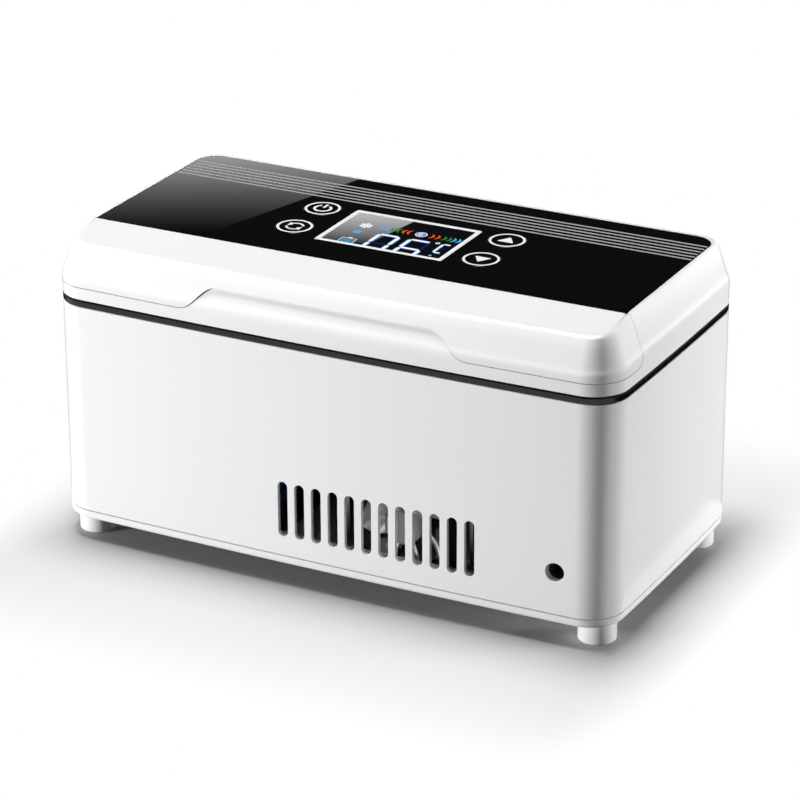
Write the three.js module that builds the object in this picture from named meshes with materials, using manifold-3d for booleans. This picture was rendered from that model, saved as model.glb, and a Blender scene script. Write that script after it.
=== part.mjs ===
// Insulin cooling case: a small thermoelectric cooler box with a hinged lid, in millimetres.
// +X runs to the right, +Y to the rear, where the lid hinges, and +Z up. The feet stand on z = 0.

import * as THREE from 'three';
import { mergeVertices } from 'three/addons/utils/BufferGeometryUtils.js';
import Module from 'manifold-3d';

const wasm = await Module();
wasm.setup();

// Driving sizes of the case
const caseWidth = 210;
const caseDepth = 105.2;
const caseHeight = 111.1;
const cornerRadius = 12;
const frontCrown = 1.4;
const sideCrown = 0.7;
const footHeight = 8;
const baseHeight = 3;
const rimHeight = 2.4;
const lidHeight = 21.4;
const bodyHeight = caseHeight - footHeight - baseHeight - rimHeight - lidHeight;
const shellWall = 2.4;

// Clearances, and the overrun of every cut
const seatGap = 0.2;
const partingGap = 0.3;
const runningGap = 0.4;
const overrun = 1;
const weldDistance = 0.0001;

// Levels from the ground up
const baseBottom = footHeight;
const baseTop = baseBottom + baseHeight;
const rimBottom = baseTop + bodyHeight;
const rimTop = rimBottom + rimHeight;
const lidTop = rimTop + lidHeight;

// Facet counts and angles
const cornerSteps = 5;
const sideSteps = 4;
const roundSteps = 20;
const smallRoundSteps = 10;
const slotSteps = 3;
const quarterTurn = Math.PI / 2;
const fullTurn = 2 * Math.PI;
const bothSides = [-1, 1];

// Finishes

const finishes = {
  whiteShell: { color: 0xf1f2f3, roughness: 0.16, metalness: 0 },
  blackTrim: { color: 0x0b0b0c, roughness: 0.22, metalness: 0 },
  blackGlass: { color: 0x040405, roughness: 0.05, metalness: 0 },
  whiteTrim: { color: 0xf4f4f4, roughness: 0.3, metalness: 0 },
  screenGlass: { color: 0x101418, roughness: 0.04, metalness: 0 },
  innerPlastic: { color: 0xd9dcdf, roughness: 0.4, metalness: 0 },
  darkPlastic: { color: 0x1c1d20, roughness: 0.45, metalness: 0 },
  fanPlastic: { color: 0xc9cbce, roughness: 0.4, metalness: 0 },
  foam: { color: 0xe9e6dc, roughness: 0.9, metalness: 0 },
  seal: { color: 0x3a3b3d, roughness: 0.7, metalness: 0 },
  aluminium: { color: 0xc4c7ca, roughness: 0.32, metalness: 1 },
  steel: { color: 0x9a9da1, roughness: 0.35, metalness: 1 },
  ceramic: { color: 0xf2f0ea, roughness: 0.5, metalness: 0 },
  board: { color: 0x1d5a38, roughness: 0.5, metalness: 0 },
  cellSleeve: { color: 0x2b6fb0, roughness: 0.35, metalness: 0 },
};

// Solids from three.js geometry

function toSolid(geometry) {
  const bare = geometry.clone();
  bare.deleteAttribute('normal');
  bare.deleteAttribute('uv');
  const welded = mergeVertices(bare, weldDistance);
  return new wasm.Manifold(new wasm.Mesh({
    numProp: 3,
    vertProperties: new Float32Array(welded.attributes.position.array),
    triVerts: new Uint32Array(welded.index.array),
  }));
}

function toGeometry(solid) {
  const { vertProperties, triVerts } = solid.getMesh();
  const geometry = new THREE.BufferGeometry();
  geometry.setAttribute('position', new THREE.BufferAttribute(new Float32Array(vertProperties), 3));
  geometry.setIndex(new THREE.BufferAttribute(new Uint32Array(triVerts), 1));
  geometry.computeVertexNormals();
  return geometry;
}

function addPiece(group, name, solid, finish, position = new THREE.Vector3()) {
  const material = new THREE.MeshStandardMaterial(finishes[finish]);
  const piece = new THREE.Mesh(toGeometry(solid), material);
  piece.name = name;
  piece.position.copy(position);
  group.add(piece);
}

const join = (solids) => solids.reduce((whole, solid) => whole.add(solid));
const cutAll = (solid, cutters) => cutters.reduce((rest, cutter) => rest.subtract(cutter), solid);

// A box between two limits on each axis.
function block([left, right], [front, rear], [low, high]) {
  const box = new THREE.BoxGeometry(right - left, rear - front, high - low);
  box.translate((left + right) / 2, (front + rear) / 2, (low + high) / 2);
  return toSolid(box);
}

// Axes that a flat shape is extruded along: the first shape axis, the second, and the run.
const planes = {
  x: new THREE.Matrix4().makeBasis(
    new THREE.Vector3(0, 1, 0), new THREE.Vector3(0, 0, 1), new THREE.Vector3(1, 0, 0)),
  y: new THREE.Matrix4().makeBasis(
    new THREE.Vector3(-1, 0, 0), new THREE.Vector3(0, 0, 1), new THREE.Vector3(0, 1, 0)),
  z: new THREE.Matrix4(),
};

// A shape drawn in the plane across an axis, extruded from one place on the axis to another.
// Across y the shape is drawn as seen from the front, so its first axis is mirrored on the way.
function prism(shape, axis, from, to, curveSegments = slotSteps) {
  const outlineShape = axis === 'y' ? mirrorShape(shape, curveSegments) : shape;
  const geometry = new THREE.ExtrudeGeometry(
    outlineShape, { depth: to - from, bevelEnabled: false, curveSegments });
  geometry.translate(0, 0, from);
  geometry.applyMatrix4(planes[axis]);
  return toSolid(geometry);
}

function mirrorShape(shape, curveSegments) {
  const { shape: points, holes } = shape.extractPoints(curveSegments);
  const mirror = (list) => list.map((point) => new THREE.Vector2(-point.x, point.y)).reverse();
  const mirrored = new THREE.Shape(mirror(points));
  mirrored.holes = holes.map((hole) => new THREE.Path(mirror(hole)));
  return mirrored;
}

// A round bar along an axis, with its middle line at centre.
function bar(axis, radius, from, to, centre = new THREE.Vector3(), steps = smallRoundSteps) {
  const geometry = new THREE.CylinderGeometry(radius, radius, to - from, steps);
  geometry.translate(0, (from + to) / 2, 0);
  if (axis === 'x') {
    geometry.rotateZ(-quarterTurn);
    geometry.translate(0, centre.y, centre.z);
  } else if (axis === 'y') {
    geometry.translate(centre.x, 0, centre.z);
  } else {
    geometry.rotateX(quarterTurn);
    geometry.translate(centre.x, centre.y, 0);
  }
  return toSolid(geometry);
}

// A closed profile of [radius, height] points turned round the vertical axis.
function turned(profile, steps = roundSteps) {
  const points = profile.map(([radius, height]) => new THREE.Vector2(radius, height));
  return toSolid(new THREE.LatheGeometry(points, steps).rotateX(quarterTurn));
}

// Rings of equally many points, skinned into one closed solid.
function loft(rings) {
  const count = rings[0].length;
  const middle = (ring) => ring
    .reduce((sum, point) => sum.add(point), new THREE.Vector3())
    .divideScalar(count);
  const points = [...rings.flat(), middle(rings[0]), middle(rings[rings.length - 1])];
  const lowMiddle = points.length - 2;
  const highMiddle = points.length - 1;
  const lastRing = (rings.length - 1) * count;
  const index = [];
  for (let k = 0; k < count; k += 1) {
    const next = (k + 1) % count;
    for (let start = 0; start < lastRing; start += count) {
      index.push(start + k, start + next, start + next + count);
      index.push(start + k, start + next + count, start + k + count);
    }
    index.push(lowMiddle, next, k);
    index.push(highMiddle, lastRing + k, lastRing + next);
  }
  const geometry = new THREE.BufferGeometry().setFromPoints(points);
  geometry.setIndex(index);
  return toSolid(geometry);
}

// The plan outline of the case and of everything that follows it: a rounded rectangle whose
// front and sides bow out a little. The bow fades round the corners with the wall's direction.
function outline(size) {
  const { halfWidth, front, rear, frontRadius, rearRadius, frontBow = 0, sideBow = 0 } = size;
  const corners = [
    { x: halfWidth - frontRadius, y: front + frontRadius, radius: frontRadius, start: -quarterTurn },
    { x: halfWidth - rearRadius, y: rear - rearRadius, radius: rearRadius, start: 0 },
    { x: rearRadius - halfWidth, y: rear - rearRadius, radius: rearRadius, start: quarterTurn },
    { x: frontRadius - halfWidth, y: front + frontRadius, radius: frontRadius, start: Math.PI },
  ];
  const onCorner = ({ x, y, radius, start }, step) => {
    const angle = start + (quarterTurn * step) / cornerSteps;
    const normal = new THREE.Vector2(Math.cos(angle), Math.sin(angle));
    return { point: new THREE.Vector2(x, y).addScaledVector(normal, radius), normal };
  };
  const places = [];
  corners.forEach((corner, k) => {
    for (let step = 0; step <= cornerSteps; step += 1) places.push(onCorner(corner, step));
    const nextCorner = corners[(k + 1) % corners.length];
    const side = { from: onCorner(corner, cornerSteps), to: onCorner(nextCorner, 0) };
    for (let step = 1; step < sideSteps; step += 1) {
      const point = side.from.point.clone().lerp(side.to.point, step / sideSteps);
      places.push({ point, normal: side.from.normal });
    }
  });
  const middle = (front + rear) / 2;
  const halfDepth = (rear - front) / 2;
  return places.map(({ point, normal }) => {
    const across = 1 - (point.x / halfWidth) ** 2;
    const along = 1 - ((point.y - middle) / halfDepth) ** 2;
    return new THREE.Vector2(
      point.x + normal.x * sideBow * along,
      point.y + Math.min(normal.y, 0) * frontBow * across,
    );
  });
}

// An outline lifted to a level, or to a level that depends on how far back each point lies.
const ringAt = (points, level) => points.map((point) => (
  new THREE.Vector3(point.x, point.y, typeof level === 'function' ? level(point.y) : level)));

// A straight-sided solid on a rounded rectangle.
function slab({ halfWidth, front, rear, radius }, low, high) {
  const points = outline({ halfWidth, front, rear, frontRadius: radius, rearRadius: radius });
  return loft([ringAt(points, low), ringAt(points, high)]);
}

// The case's outline drawn in by an inset. Its corners keep at least a small radius.
const leastRadius = 1;
const caseOutline = (inset) => outline({
  halfWidth: caseWidth / 2 - inset,
  front: inset - caseDepth / 2,
  rear: caseDepth / 2 - inset,
  frontRadius: Math.max(cornerRadius - inset, leastRadius),
  rearRadius: Math.max(cornerRadius - inset, leastRadius),
  frontBow: frontCrown,
  sideBow: sideCrown,
});

// A solid that follows the case's outline through a list of [inset, level] rings.
const caseForm = (rings) => loft(rings.map(([inset, level]) => ringAt(caseOutline(inset), level)));

const caseFront = -caseDepth / 2;
const caseRear = caseDepth / 2;

// Base cover, feet and base screws

const base = {
  plate: 2.4,
  edgeInset: 1.8,
  edgeInsetShares: [1, 0.5, 0.17, 0],
  edgeHeightShares: [0, 0.2, 0.5, 1],
  lipWall: 1.6,
  lipHeight: 3.6,
};
const plateTop = baseBottom + base.plate;
const lipTop = baseTop + base.lipHeight;
const lipOuter = shellWall + seatGap;
const lipInner = lipOuter + base.lipWall;

const foot = { radius: 6.5, inset: 8.8, frontInset: 11.3, bevel: 0.5, boreDepth: 4 };
const screw = { radius: 1.5, headRadius: 3, headHeight: 2, length: 20, socketRadius: 1.2 };
const boss = { radius: 4.2, height: 16, web: 2.4 };
const footPlaces = [
  { name: 'front_left', x: foot.inset - caseWidth / 2, y: caseFront + foot.frontInset },
  { name: 'front_right', x: caseWidth / 2 - foot.inset, y: caseFront + foot.frontInset },
  { name: 'rear_left', x: foot.inset - caseWidth / 2, y: caseRear - foot.frontInset },
  { name: 'rear_right', x: caseWidth / 2 - foot.inset, y: caseRear - foot.frontInset },
];
const screwHole = screw.radius + seatGap;

// Fan behind the vents, and the cooling stack above it

const vent = { count: 12, pitch: 6.34, width: 3.5, length: 20, middleShare: 0.1943, lift: 7.4 };
const ventMiddle = vent.middleShare * (caseWidth / 2);
const ventLow = baseTop + vent.lift;

const fan = {
  size: 34, depth: 10, offset: 6.6, duct: 16.2, hub: 6.6, bladeTip: 15.6,
  blades: 7, frameCorner: 3, strut: 2, motor: 6.6, motorDepth: 3,
};
const fanX = ventMiddle + fan.offset;
const fanFront = caseFront + lipInner + runningGap;
const fanRear = fanFront + fan.depth;
const fanCentre = new THREE.Vector3(fanX, (fanFront + fanRear) / 2, plateTop + seatGap + fan.size / 2);

const chamber = { endInsulation: 12.6, sideInsulation: 15.2, depth: 29.3, wall: 1.2, flange: 4, radius: 6 };
const chamberHalfWidth = caseWidth / 2 - shellWall - chamber.endInsulation;
const chamberHalfDepth = caseDepth / 2 - shellWall - chamber.sideInsulation;
const chamberFloor = rimBottom - chamber.depth;
const linerBottom = chamberFloor - chamber.wall;
const flangeTop = rimBottom - seatGap;
const flangeBottom = flangeTop - chamber.wall;

const cooler = { size: 40, coldBlock: 5.4, module: 3.8 };
const coldBlockTop = linerBottom - seatGap;
const moduleTop = coldBlockTop - cooler.coldBlock - seatGap;
const sinkTop = moduleTop - cooler.module - seatGap;
const sink = { width: 52, length: 61.6, plate: 4, fins: 13, finWall: 1.2, floorGap: 3 };
const sinkFront = fanRear + runningGap;
const sinkRear = sinkFront + sink.length;
const sinkMiddle = (sinkFront + sinkRear) / 2;

const foam = { floor: 5 };
const foamBottom = linerBottom - foam.floor;

function baseCover() {
  const skin = base.edgeInsetShares.map((share, k) => (
    [share * base.edgeInset, baseBottom + base.edgeHeightShares[k] * baseHeight]));
  let cover = caseForm(skin)
    .subtract(caseForm([[shellWall, plateTop], [shellWall, baseTop + overrun]]))
    .add(caseForm([[lipOuter, plateTop - overrun], [lipOuter, lipTop]])
      .subtract(caseForm([[lipInner, plateTop], [lipInner, lipTop + overrun]])));
  cover = cutAll(cover, footPlaces.map(({ x, y }) => (
    bar('z', screwHole, baseBottom - overrun, plateTop + overrun, new THREE.Vector3(x, y)))));
  cover = cutAll(cover, intakeSlots());
  return join([cover, ...boardPosts(), ...cellRests()]);
}

// Air intake under the heat sink: a row of long slots with round ends.
const intake = { width: 2.6, pitchShare: 2, length: 46, count: 9 };
function intakeSlots() {
  const slots = [];
  const pitch = intake.width * intake.pitchShare;
  for (let k = 0; k < intake.count; k += 1) {
    const x = fanX + (k - (intake.count - 1) / 2) * pitch;
    const shape = stadium(intake.width, intake.length);
    const slot = prism(shape, 'z', baseBottom - overrun, plateTop + overrun);
    slots.push(slot.translate(x, sinkMiddle - intake.length / 2, 0));
  }
  return slots;
}

// A slot outline with round ends, standing on its lower end and centred across.
function stadium(width, length) {
  const radius = width / 2;
  const shape = new THREE.Shape();
  shape.absarc(0, radius, radius, Math.PI, fullTurn, false);
  shape.absarc(0, length - radius, radius, 0, Math.PI, false);
  return shape;
}

const footBody = () => turned([
  [screwHole, 0],
  [foot.radius - foot.bevel, 0],
  [foot.radius, foot.bevel],
  [foot.radius, footHeight - seatGap],
  [screwHole, footHeight - seatGap],
  [screwHole, 0],
]).subtract(bar('z', screw.headRadius + runningGap, -overrun, foot.boreDepth));

const screwSeat = foot.boreDepth - seatGap;
const screwBody = () => turned([
  [0, screwSeat - screw.headHeight / 2],
  [screw.socketRadius, screwSeat - screw.headHeight / 2],
  [screw.socketRadius, screwSeat - screw.headHeight],
  [screw.headRadius, screwSeat - screw.headHeight],
  [screw.headRadius, screwSeat],
  [screw.radius, screwSeat],
  [screw.radius, screwSeat + screw.length],
  [0, screwSeat + screw.length],
], smallRoundSteps);

// Body shell with its vents, power hole and screw bosses

const jack = {
  sideInset: 19.1, lift: 15.3, hole: 3.2, bore: 3.1, pin: 1, width: 9, height: 11, length: 13, pinLength: 7,
};
const jackX = caseWidth / 2 - jack.sideInset;
const jackZ = baseTop + jack.lift;
const jackAxis = new THREE.Vector3(jackX, 0, jackZ);

function bodyShell() {
  const shellLow = baseTop + seatGap;
  const shellHigh = rimBottom - seatGap;
  let shell = caseForm([[0, shellLow], [0, shellHigh]])
    .subtract(caseForm([[shellWall, shellLow - overrun], [shellWall, shellHigh + overrun]]));
  const bossLow = plateTop + seatGap;
  const bossHigh = bossLow + boss.height;
  footPlaces.forEach(({ x, y }) => {
    const column = bar('z', boss.radius, bossLow, bossHigh, new THREE.Vector3(x, y));
    const outward = Math.sign(x);
    const webEnd = outward * (caseWidth / 2 - shellWall / 2);
    const web = block(
      [Math.min(x, webEnd), Math.max(x, webEnd)],
      [y - boss.web / 2, y + boss.web / 2],
      [lipTop + seatGap, bossHigh],
    );
    shell = join([shell, column, web])
      .subtract(bar('z', screwHole, bossLow - overrun, bossHigh + overrun, new THREE.Vector3(x, y)));
  });
  const wallFront = caseFront - frontCrown - overrun;
  const wallRear = caseFront + shellWall + overrun;
  const slot = prism(stadium(vent.width, vent.length), 'y', wallFront, wallRear);
  for (let k = 0; k < vent.count; k += 1) {
    const x = ventMiddle + (k - (vent.count - 1) / 2) * vent.pitch;
    shell = shell.subtract(slot.translate(x, 0, ventLow));
  }
  return shell.subtract(bar('y', jack.hole, wallFront, wallRear, jackAxis, roundSteps));
}

// Power board with its socket

const board = {
  wall: 1.6, sinkGap: 9, sideInset: 14, frontInset: 3.6, length: 61, post: 2.6, postInset: 4, socketLift: 6.2,
};
const boardLeft = fanX + sink.width / 2 + board.sinkGap;
const boardRight = caseWidth / 2 - board.sideInset;
const boardFront = caseFront + board.frontInset;
const boardRear = boardFront + board.length;
const boardTop = jackZ - board.socketLift;
const boardBottom = boardTop - board.wall;
const chip = { size: 9, height: 2.4, rearInset: 9, coil: 6, coilHeight: 7, coilGap: 12 };

function boardPosts() {
  const xs = [boardLeft + board.postInset, boardRight - board.postInset];
  const ys = [boardFront + board.postInset, boardRear - board.postInset];
  return xs.flatMap((x) => ys.map((y) => (
    bar('z', board.post, plateTop - seatGap, boardBottom - seatGap, new THREE.Vector3(x, y)))));
}

function mainBoard() {
  const middleX = (boardLeft + boardRight) / 2;
  const chipRear = boardRear - chip.rearInset;
  const chipFront = chipRear - chip.size;
  return join([
    block([boardLeft, boardRight], [boardFront, boardRear], [boardBottom, boardTop]),
    block([middleX - chip.size / 2, middleX + chip.size / 2],
      [chipFront, chipRear], [boardBottom + seatGap, boardTop + chip.height]),
    bar('z', chip.coil, boardBottom + seatGap, boardTop + chip.coilHeight,
      new THREE.Vector3(middleX, chipFront - chip.coilGap - chip.coil)),
  ]);
}

function powerSocket() {
  const front = caseFront + shellWall + seatGap;
  const rear = front + jack.length;
  const low = boardTop + seatGap;
  const body = block([jackX - jack.width / 2, jackX + jack.width / 2], [front, rear], [low, low + jack.height]);
  const boreEnd = rear - shellWall;
  return body
    .subtract(bar('y', jack.bore, front - overrun, boreEnd, jackAxis, roundSteps))
    .add(bar('y', jack.pin, boreEnd - jack.pinLength, boreEnd + overrun, jackAxis));
}

// Battery: two round cells lying in a holder on the base cover

const cell = { radius: 9.1, length: 65, gap: 2.4, frontInset: 22.6, leftGap: 13 };
const cellLeft = shellWall + cell.leftGap - caseWidth / 2;
const cellPitch = 2 * cell.radius + cell.gap;
const holder = { wall: 1.6, floor: 1.6, restHeight: 1, restWidth: 4.8 };
const holderLow = plateTop + holder.restHeight + seatGap;
const cellZ = holderLow + holder.floor + seatGap + cell.radius;
const cellFrontRow = caseFront + cell.frontInset;
const cellRows = [cellFrontRow, cellFrontRow + cellPitch];
const cellCentre = (y) => new THREE.Vector3(0, y, cellZ);
const holderSides = {
  x: [cellLeft - seatGap - holder.wall, cellLeft + cell.length + seatGap + holder.wall],
  y: [cellRows[0] - cell.radius - holder.wall - seatGap, cellRows[1] + cell.radius + holder.wall + seatGap],
};

function cellRests() {
  const [left, right] = holderSides.x;
  return [left, right].map((x, k) => block(
    [k ? x - holder.restWidth : x, k ? x : x + holder.restWidth],
    holderSides.y, [plateTop - seatGap, plateTop + holder.restHeight],
  ));
}

function batteryHolder() {
  const outer = block(holderSides.x, holderSides.y, [holderLow, cellZ]);
  return cutAll(outer, cellRows.map((y) => (
    bar('x', cell.radius + seatGap, cellLeft - seatGap, cellLeft + cell.length + seatGap, cellCentre(y),
      roundSteps))));
}

const batteryCell = (y) => bar('x', cell.radius, cellLeft, cellLeft + cell.length, cellCentre(y), roundSteps);

// Chamber: aluminium liner, insulation, cold block, thermoelectric module and heat sink

const chamberSlab = (grow, low, high) => slab({
  halfWidth: chamberHalfWidth + grow,
  front: -chamberHalfDepth - grow,
  rear: chamberHalfDepth + grow,
  radius: Math.max(chamber.radius + grow, leastRadius),
}, low, high);

const chamberLiner = () => chamberSlab(chamber.wall, linerBottom, flangeTop)
  .add(chamberSlab(chamber.wall + chamber.flange, flangeBottom, flangeTop))
  .subtract(chamberSlab(0, chamberFloor, flangeTop + overrun));

const skirt = { wall: 1.6, depth: 5 };
const foamInset = shellWall + seatGap + skirt.wall + partingGap;
const coolerBlock = (half, low, high) => block(
  [fanX - half, fanX + half], [sinkMiddle - half, sinkMiddle + half], [low, high]);

const sensor = { width: 5, depth: 4, height: 9 };
const sensorBlock = (grow, lift) => block(
  [chamberHalfWidth + chamber.wall + seatGap - grow, chamberHalfWidth + chamber.wall + sensor.depth + grow],
  [-sensor.width / 2 - grow, sensor.width / 2 + grow],
  [chamberFloor + lift - grow, chamberFloor + lift + sensor.height + grow],
);

const insulation = () => cutAll(caseForm([[foamInset, foamBottom], [foamInset, flangeBottom - seatGap]]), [
  chamberSlab(chamber.wall + partingGap, linerBottom - seatGap, flangeTop),
  coolerBlock(cooler.size / 2 + partingGap, foamBottom - overrun, linerBottom),
  sensorBlock(seatGap, sensor.height),
]);

function heatSink() {
  const left = fanX - sink.width / 2;
  const pitch = (sink.width - sink.finWall) / (sink.fins - 1);
  const plateLow = sinkTop - sink.plate;
  const finLow = plateTop + sink.floorGap;
  const profile = new THREE.Shape();
  profile.moveTo(left + sink.width, sinkTop);
  profile.lineTo(left, sinkTop);
  for (let k = 0; k < sink.fins; k += 1) {
    const x = left + k * pitch;
    if (k > 0) profile.lineTo(x, plateLow);
    profile.lineTo(x, finLow);
    profile.lineTo(x + sink.finWall, finLow);
    if (k < sink.fins - 1) profile.lineTo(x + sink.finWall, plateLow);
  }
  return prism(profile, 'y', sinkFront, sinkRear);
}

// Pen tray: a wavy sheet with a trough for each pen, carried on two end walls

const tray = { radius: 10, wall: 1.2, endGap: 1.5, endWall: 1.6, lift: 1.2, gripWidth: 22, gripDepth: 4 };
const troughSteps = 8;
const trayHalfWidth = chamberHalfWidth - tray.endGap;
const trayPitch = 2 * tray.radius + tray.wall;
const troughCount = Math.floor((2 * chamberHalfDepth - tray.wall) / trayPitch);
const trayHalfDepth = (trayPitch * troughCount + tray.wall) / 2;
const troughMiddle = (k) => (k - (troughCount - 1) / 2) * trayPitch;
const trayTop = chamberFloor + tray.lift + tray.wall + tray.radius;

function penTray() {
  const low = chamberFloor + seatGap;
  const shape = new THREE.Shape();
  shape.moveTo(-trayHalfDepth, trayTop);
  for (let k = 0; k < troughCount; k += 1) {
    const y = troughMiddle(k);
    shape.lineTo(y - tray.radius, trayTop);
    shape.absarc(y, trayTop, tray.radius, Math.PI, fullTurn, false);
  }
  shape.lineTo(trayHalfDepth, trayTop);
  shape.lineTo(trayHalfDepth, trayTop - tray.wall);
  const outer = tray.radius + tray.wall;
  const meet = Math.acos(trayPitch / 2 / outer);
  for (let k = troughCount - 1; k >= 0; k -= 1) {
    const y = troughMiddle(k);
    const start = k === troughCount - 1 ? -Math.asin(tray.wall / outer) : -meet;
    const end = k === 0 ? Math.asin(tray.wall / outer) - Math.PI : meet - Math.PI;
    shape.absarc(y, trayTop, outer, start, end, true);
  }
  shape.lineTo(-trayHalfDepth, trayTop - tray.wall);
  const sheet = prism(shape, 'x', -trayHalfWidth, trayHalfWidth, troughSteps);
  const grip = block([-caseWidth, caseWidth], [-tray.gripWidth / 2, tray.gripWidth / 2],
    [trayTop - tray.gripDepth, trayTop + overrun]);
  const ends = bothSides.map((side) => {
    const edge = side * trayHalfWidth;
    const inner = side * (trayHalfWidth - tray.endWall);
    return block([Math.min(edge, inner), Math.max(edge, inner)], [-trayHalfDepth, trayHalfDepth], [low, trayTop])
      .subtract(grip);
  });
  return join([sheet, ...ends]);
}

// Rim frame with its hinge knuckles, the chamber gasket and the closing magnets' keepers

const hinge = {
  radius: 3, standOff: 0.3, endInset: 8, endKnuckle: 12, middleKnuckle: 30,
  pin: 1, leafWall: 2.2, leafHeight: 8.5,
};
const hingeHalf = caseWidth / 2 - hinge.endInset;
const hingeAxis = new THREE.Vector3(0, caseRear + hinge.standOff + hinge.radius, rimBottom + rimHeight / 2);
const rimPlateTop = rimTop - partingGap;
const gasket = { inset: 1.4, width: 2.6, sunk: 1.2, proud: 0.35 };
const magnet = { radius: 4, height: 2, keeper: 1.1, xShare: 0.76, frontInset: 8.4 };
const magnetPlaces = ['left', 'right'].map((name, k) => ({
  name,
  x: bothSides[k] * magnet.xShare * (caseWidth / 2),
  y: caseFront + magnet.frontInset,
}));

const rimKnuckles = [
  [-hingeHalf, hinge.endKnuckle - hingeHalf],
  [-hinge.middleKnuckle / 2, hinge.middleKnuckle / 2],
  [hingeHalf - hinge.endKnuckle, hingeHalf],
];
const leafKnuckles = [
  [hinge.endKnuckle - hingeHalf + runningGap, -hinge.middleKnuckle / 2 - runningGap],
  [hinge.middleKnuckle / 2 + runningGap, hingeHalf - hinge.endKnuckle - runningGap],
];
const knuckle = ([from, to]) => bar('x', hinge.radius, from, to, hingeAxis, roundSteps);
const pinBore = () => bar(
  'x', hinge.pin + runningGap / 2, -hingeHalf - overrun, hingeHalf + overrun, hingeAxis);

function rimFrame() {
  const skirtOuter = shellWall + seatGap;
  const skirtInner = skirtOuter + skirt.wall;
  const skirtLow = rimBottom - skirt.depth;
  const plate = caseForm([[0, rimBottom], [0, rimPlateTop]])
    .subtract(chamberSlab(0, rimBottom - overrun, rimPlateTop + overrun));
  const lip = caseForm([[skirtOuter, skirtLow], [skirtOuter, rimBottom + seatGap]])
    .subtract(caseForm([[skirtInner, skirtLow - overrun], [skirtInner, rimBottom + rimHeight]]));
  const groove = gasketRing(seatGap, rimPlateTop - gasket.sunk - seatGap, rimPlateTop + overrun);
  const webs = rimKnuckles.map(([from, to]) => block(
    [from, to], [caseRear - shellWall, hingeAxis.y], [rimBottom, rimPlateTop]));
  return join([plate, lip, ...rimKnuckles.map(knuckle), ...webs]).subtract(groove).subtract(pinBore());
}

const gasketRing = (grow, low, high) => chamberSlab(gasket.inset + gasket.width + grow, low, high)
  .subtract(chamberSlab(gasket.inset - grow, low - overrun, high + overrun));
const chamberGasket = () => gasketRing(0, rimPlateTop - gasket.sunk, rimPlateTop + gasket.proud);

const keeperDisc = ({ x, y }) => bar(
  'z', magnet.radius, flangeTop - magnet.keeper, flangeTop, new THREE.Vector3(x, y), roundSteps);

const hingePin = () => bar(
  'x', hinge.pin, -hingeHalf, hingeHalf, hingeAxis);

// Hinge leaf on the lid's rear wall, and its screws

const leafFront = caseRear + seatGap;
const leafRear = leafFront + hinge.leafWall;
const leafLow = hingeAxis.z + hinge.radius + runningGap;
const leafHigh = rimTop + hinge.leafHeight;
const leafScrew = { radius: 1.1, head: 1.9, headHeight: 1.2, length: 5, shares: [-0.72, -0.3, 0.3, 0.72] };
const leafScrewZ = (leafLow + leafHigh) / 2;
const leafScrewPlaces = leafScrew.shares.map((share) => new THREE.Vector3(share * hingeHalf, 0, leafScrewZ));
const leafScrewHole = (place) => bar('y', leafScrew.radius + seatGap, leafRear - leafScrew.length - overrun,
  leafRear + overrun, place);
const leafScrewSeat = (place) => bar('y', leafScrew.head + seatGap, leafRear - leafScrew.headHeight - seatGap,
  leafRear + overrun, place);

function hingeLeaf() {
  const plate = block([-hingeHalf, hingeHalf], [leafFront, leafRear], [leafLow, leafHigh]);
  const webs = leafKnuckles.map((span) => block(span, [leafFront + seatGap, leafRear], [hingeAxis.z, leafHigh]));
  const leaf = join([plate, ...leafKnuckles.map(knuckle), ...webs]).subtract(pinBore());
  return cutAll(leaf, leafScrewPlaces.flatMap((place) => [leafScrewHole(place), leafScrewSeat(place)]));
}

const leafScrewBody = (place) => bar('y', leafScrew.radius, leafRear - leafScrew.length, leafRear, place)
  .add(bar('y', leafScrew.head, leafRear - leafScrew.headHeight, leafRear, place));

// Lid: the outer form is lofted, with walls that lean in more and more towards the top.
// In front of the control panel the top slopes down to the front edge.

const lid = {
  topInset: 4.9,
  heightShares: [0, 0.35, 0.5, 0.72, 0.9, 1],
  insetShares: [0, 0, 0.2, 0.5, 0.78, 1],
  wall: 2.4,
  frontDrop: 2.8,
};
const panel = { sideInset: 5.8, frontInset: 22.1, rearInset: 7, wall: 2, frontRadius: 1, rearRadius: 7.5 };
const panelFront = caseFront + panel.frontInset;
const panelRear = caseRear - panel.rearInset;
const panelHalfWidth = caseWidth / 2 - panel.sideInset;
const bezelSlope = lid.frontDrop / (panel.frontInset - lid.topInset);
const deck = { wall: 1.6 };
const deckTop = lidTop - panel.wall - seatGap;
const deckBottom = deckTop - deck.wall;

const lidTopAt = (y) => lidTop - bezelSlope * Math.max(panelFront - y, 0);

const fascia = { wall: 1.4, lift: 4.6, cornerRadius: 3.5 };
const notch = { lowHalf: 54, highHalf: 39.5, height: 8.4, depth: 1.2, easeShare: 0.45, runOut: 4 };
const fasciaLow = rimTop + fascia.lift;
const behindFascia = fascia.wall + seatGap + lid.wall;

// How far the lid's wall has leaned in at a share of its height.
function leanAt(share) {
  const k = Math.max(lid.heightShares.findIndex((height) => height >= share), 1);
  const leanShare = THREE.MathUtils.mapLinear(
    share, lid.heightShares[k - 1], lid.heightShares[k], lid.insetShares[k - 1], lid.insetShares[k]);
  return leanShare * lid.topInset;
}

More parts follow.
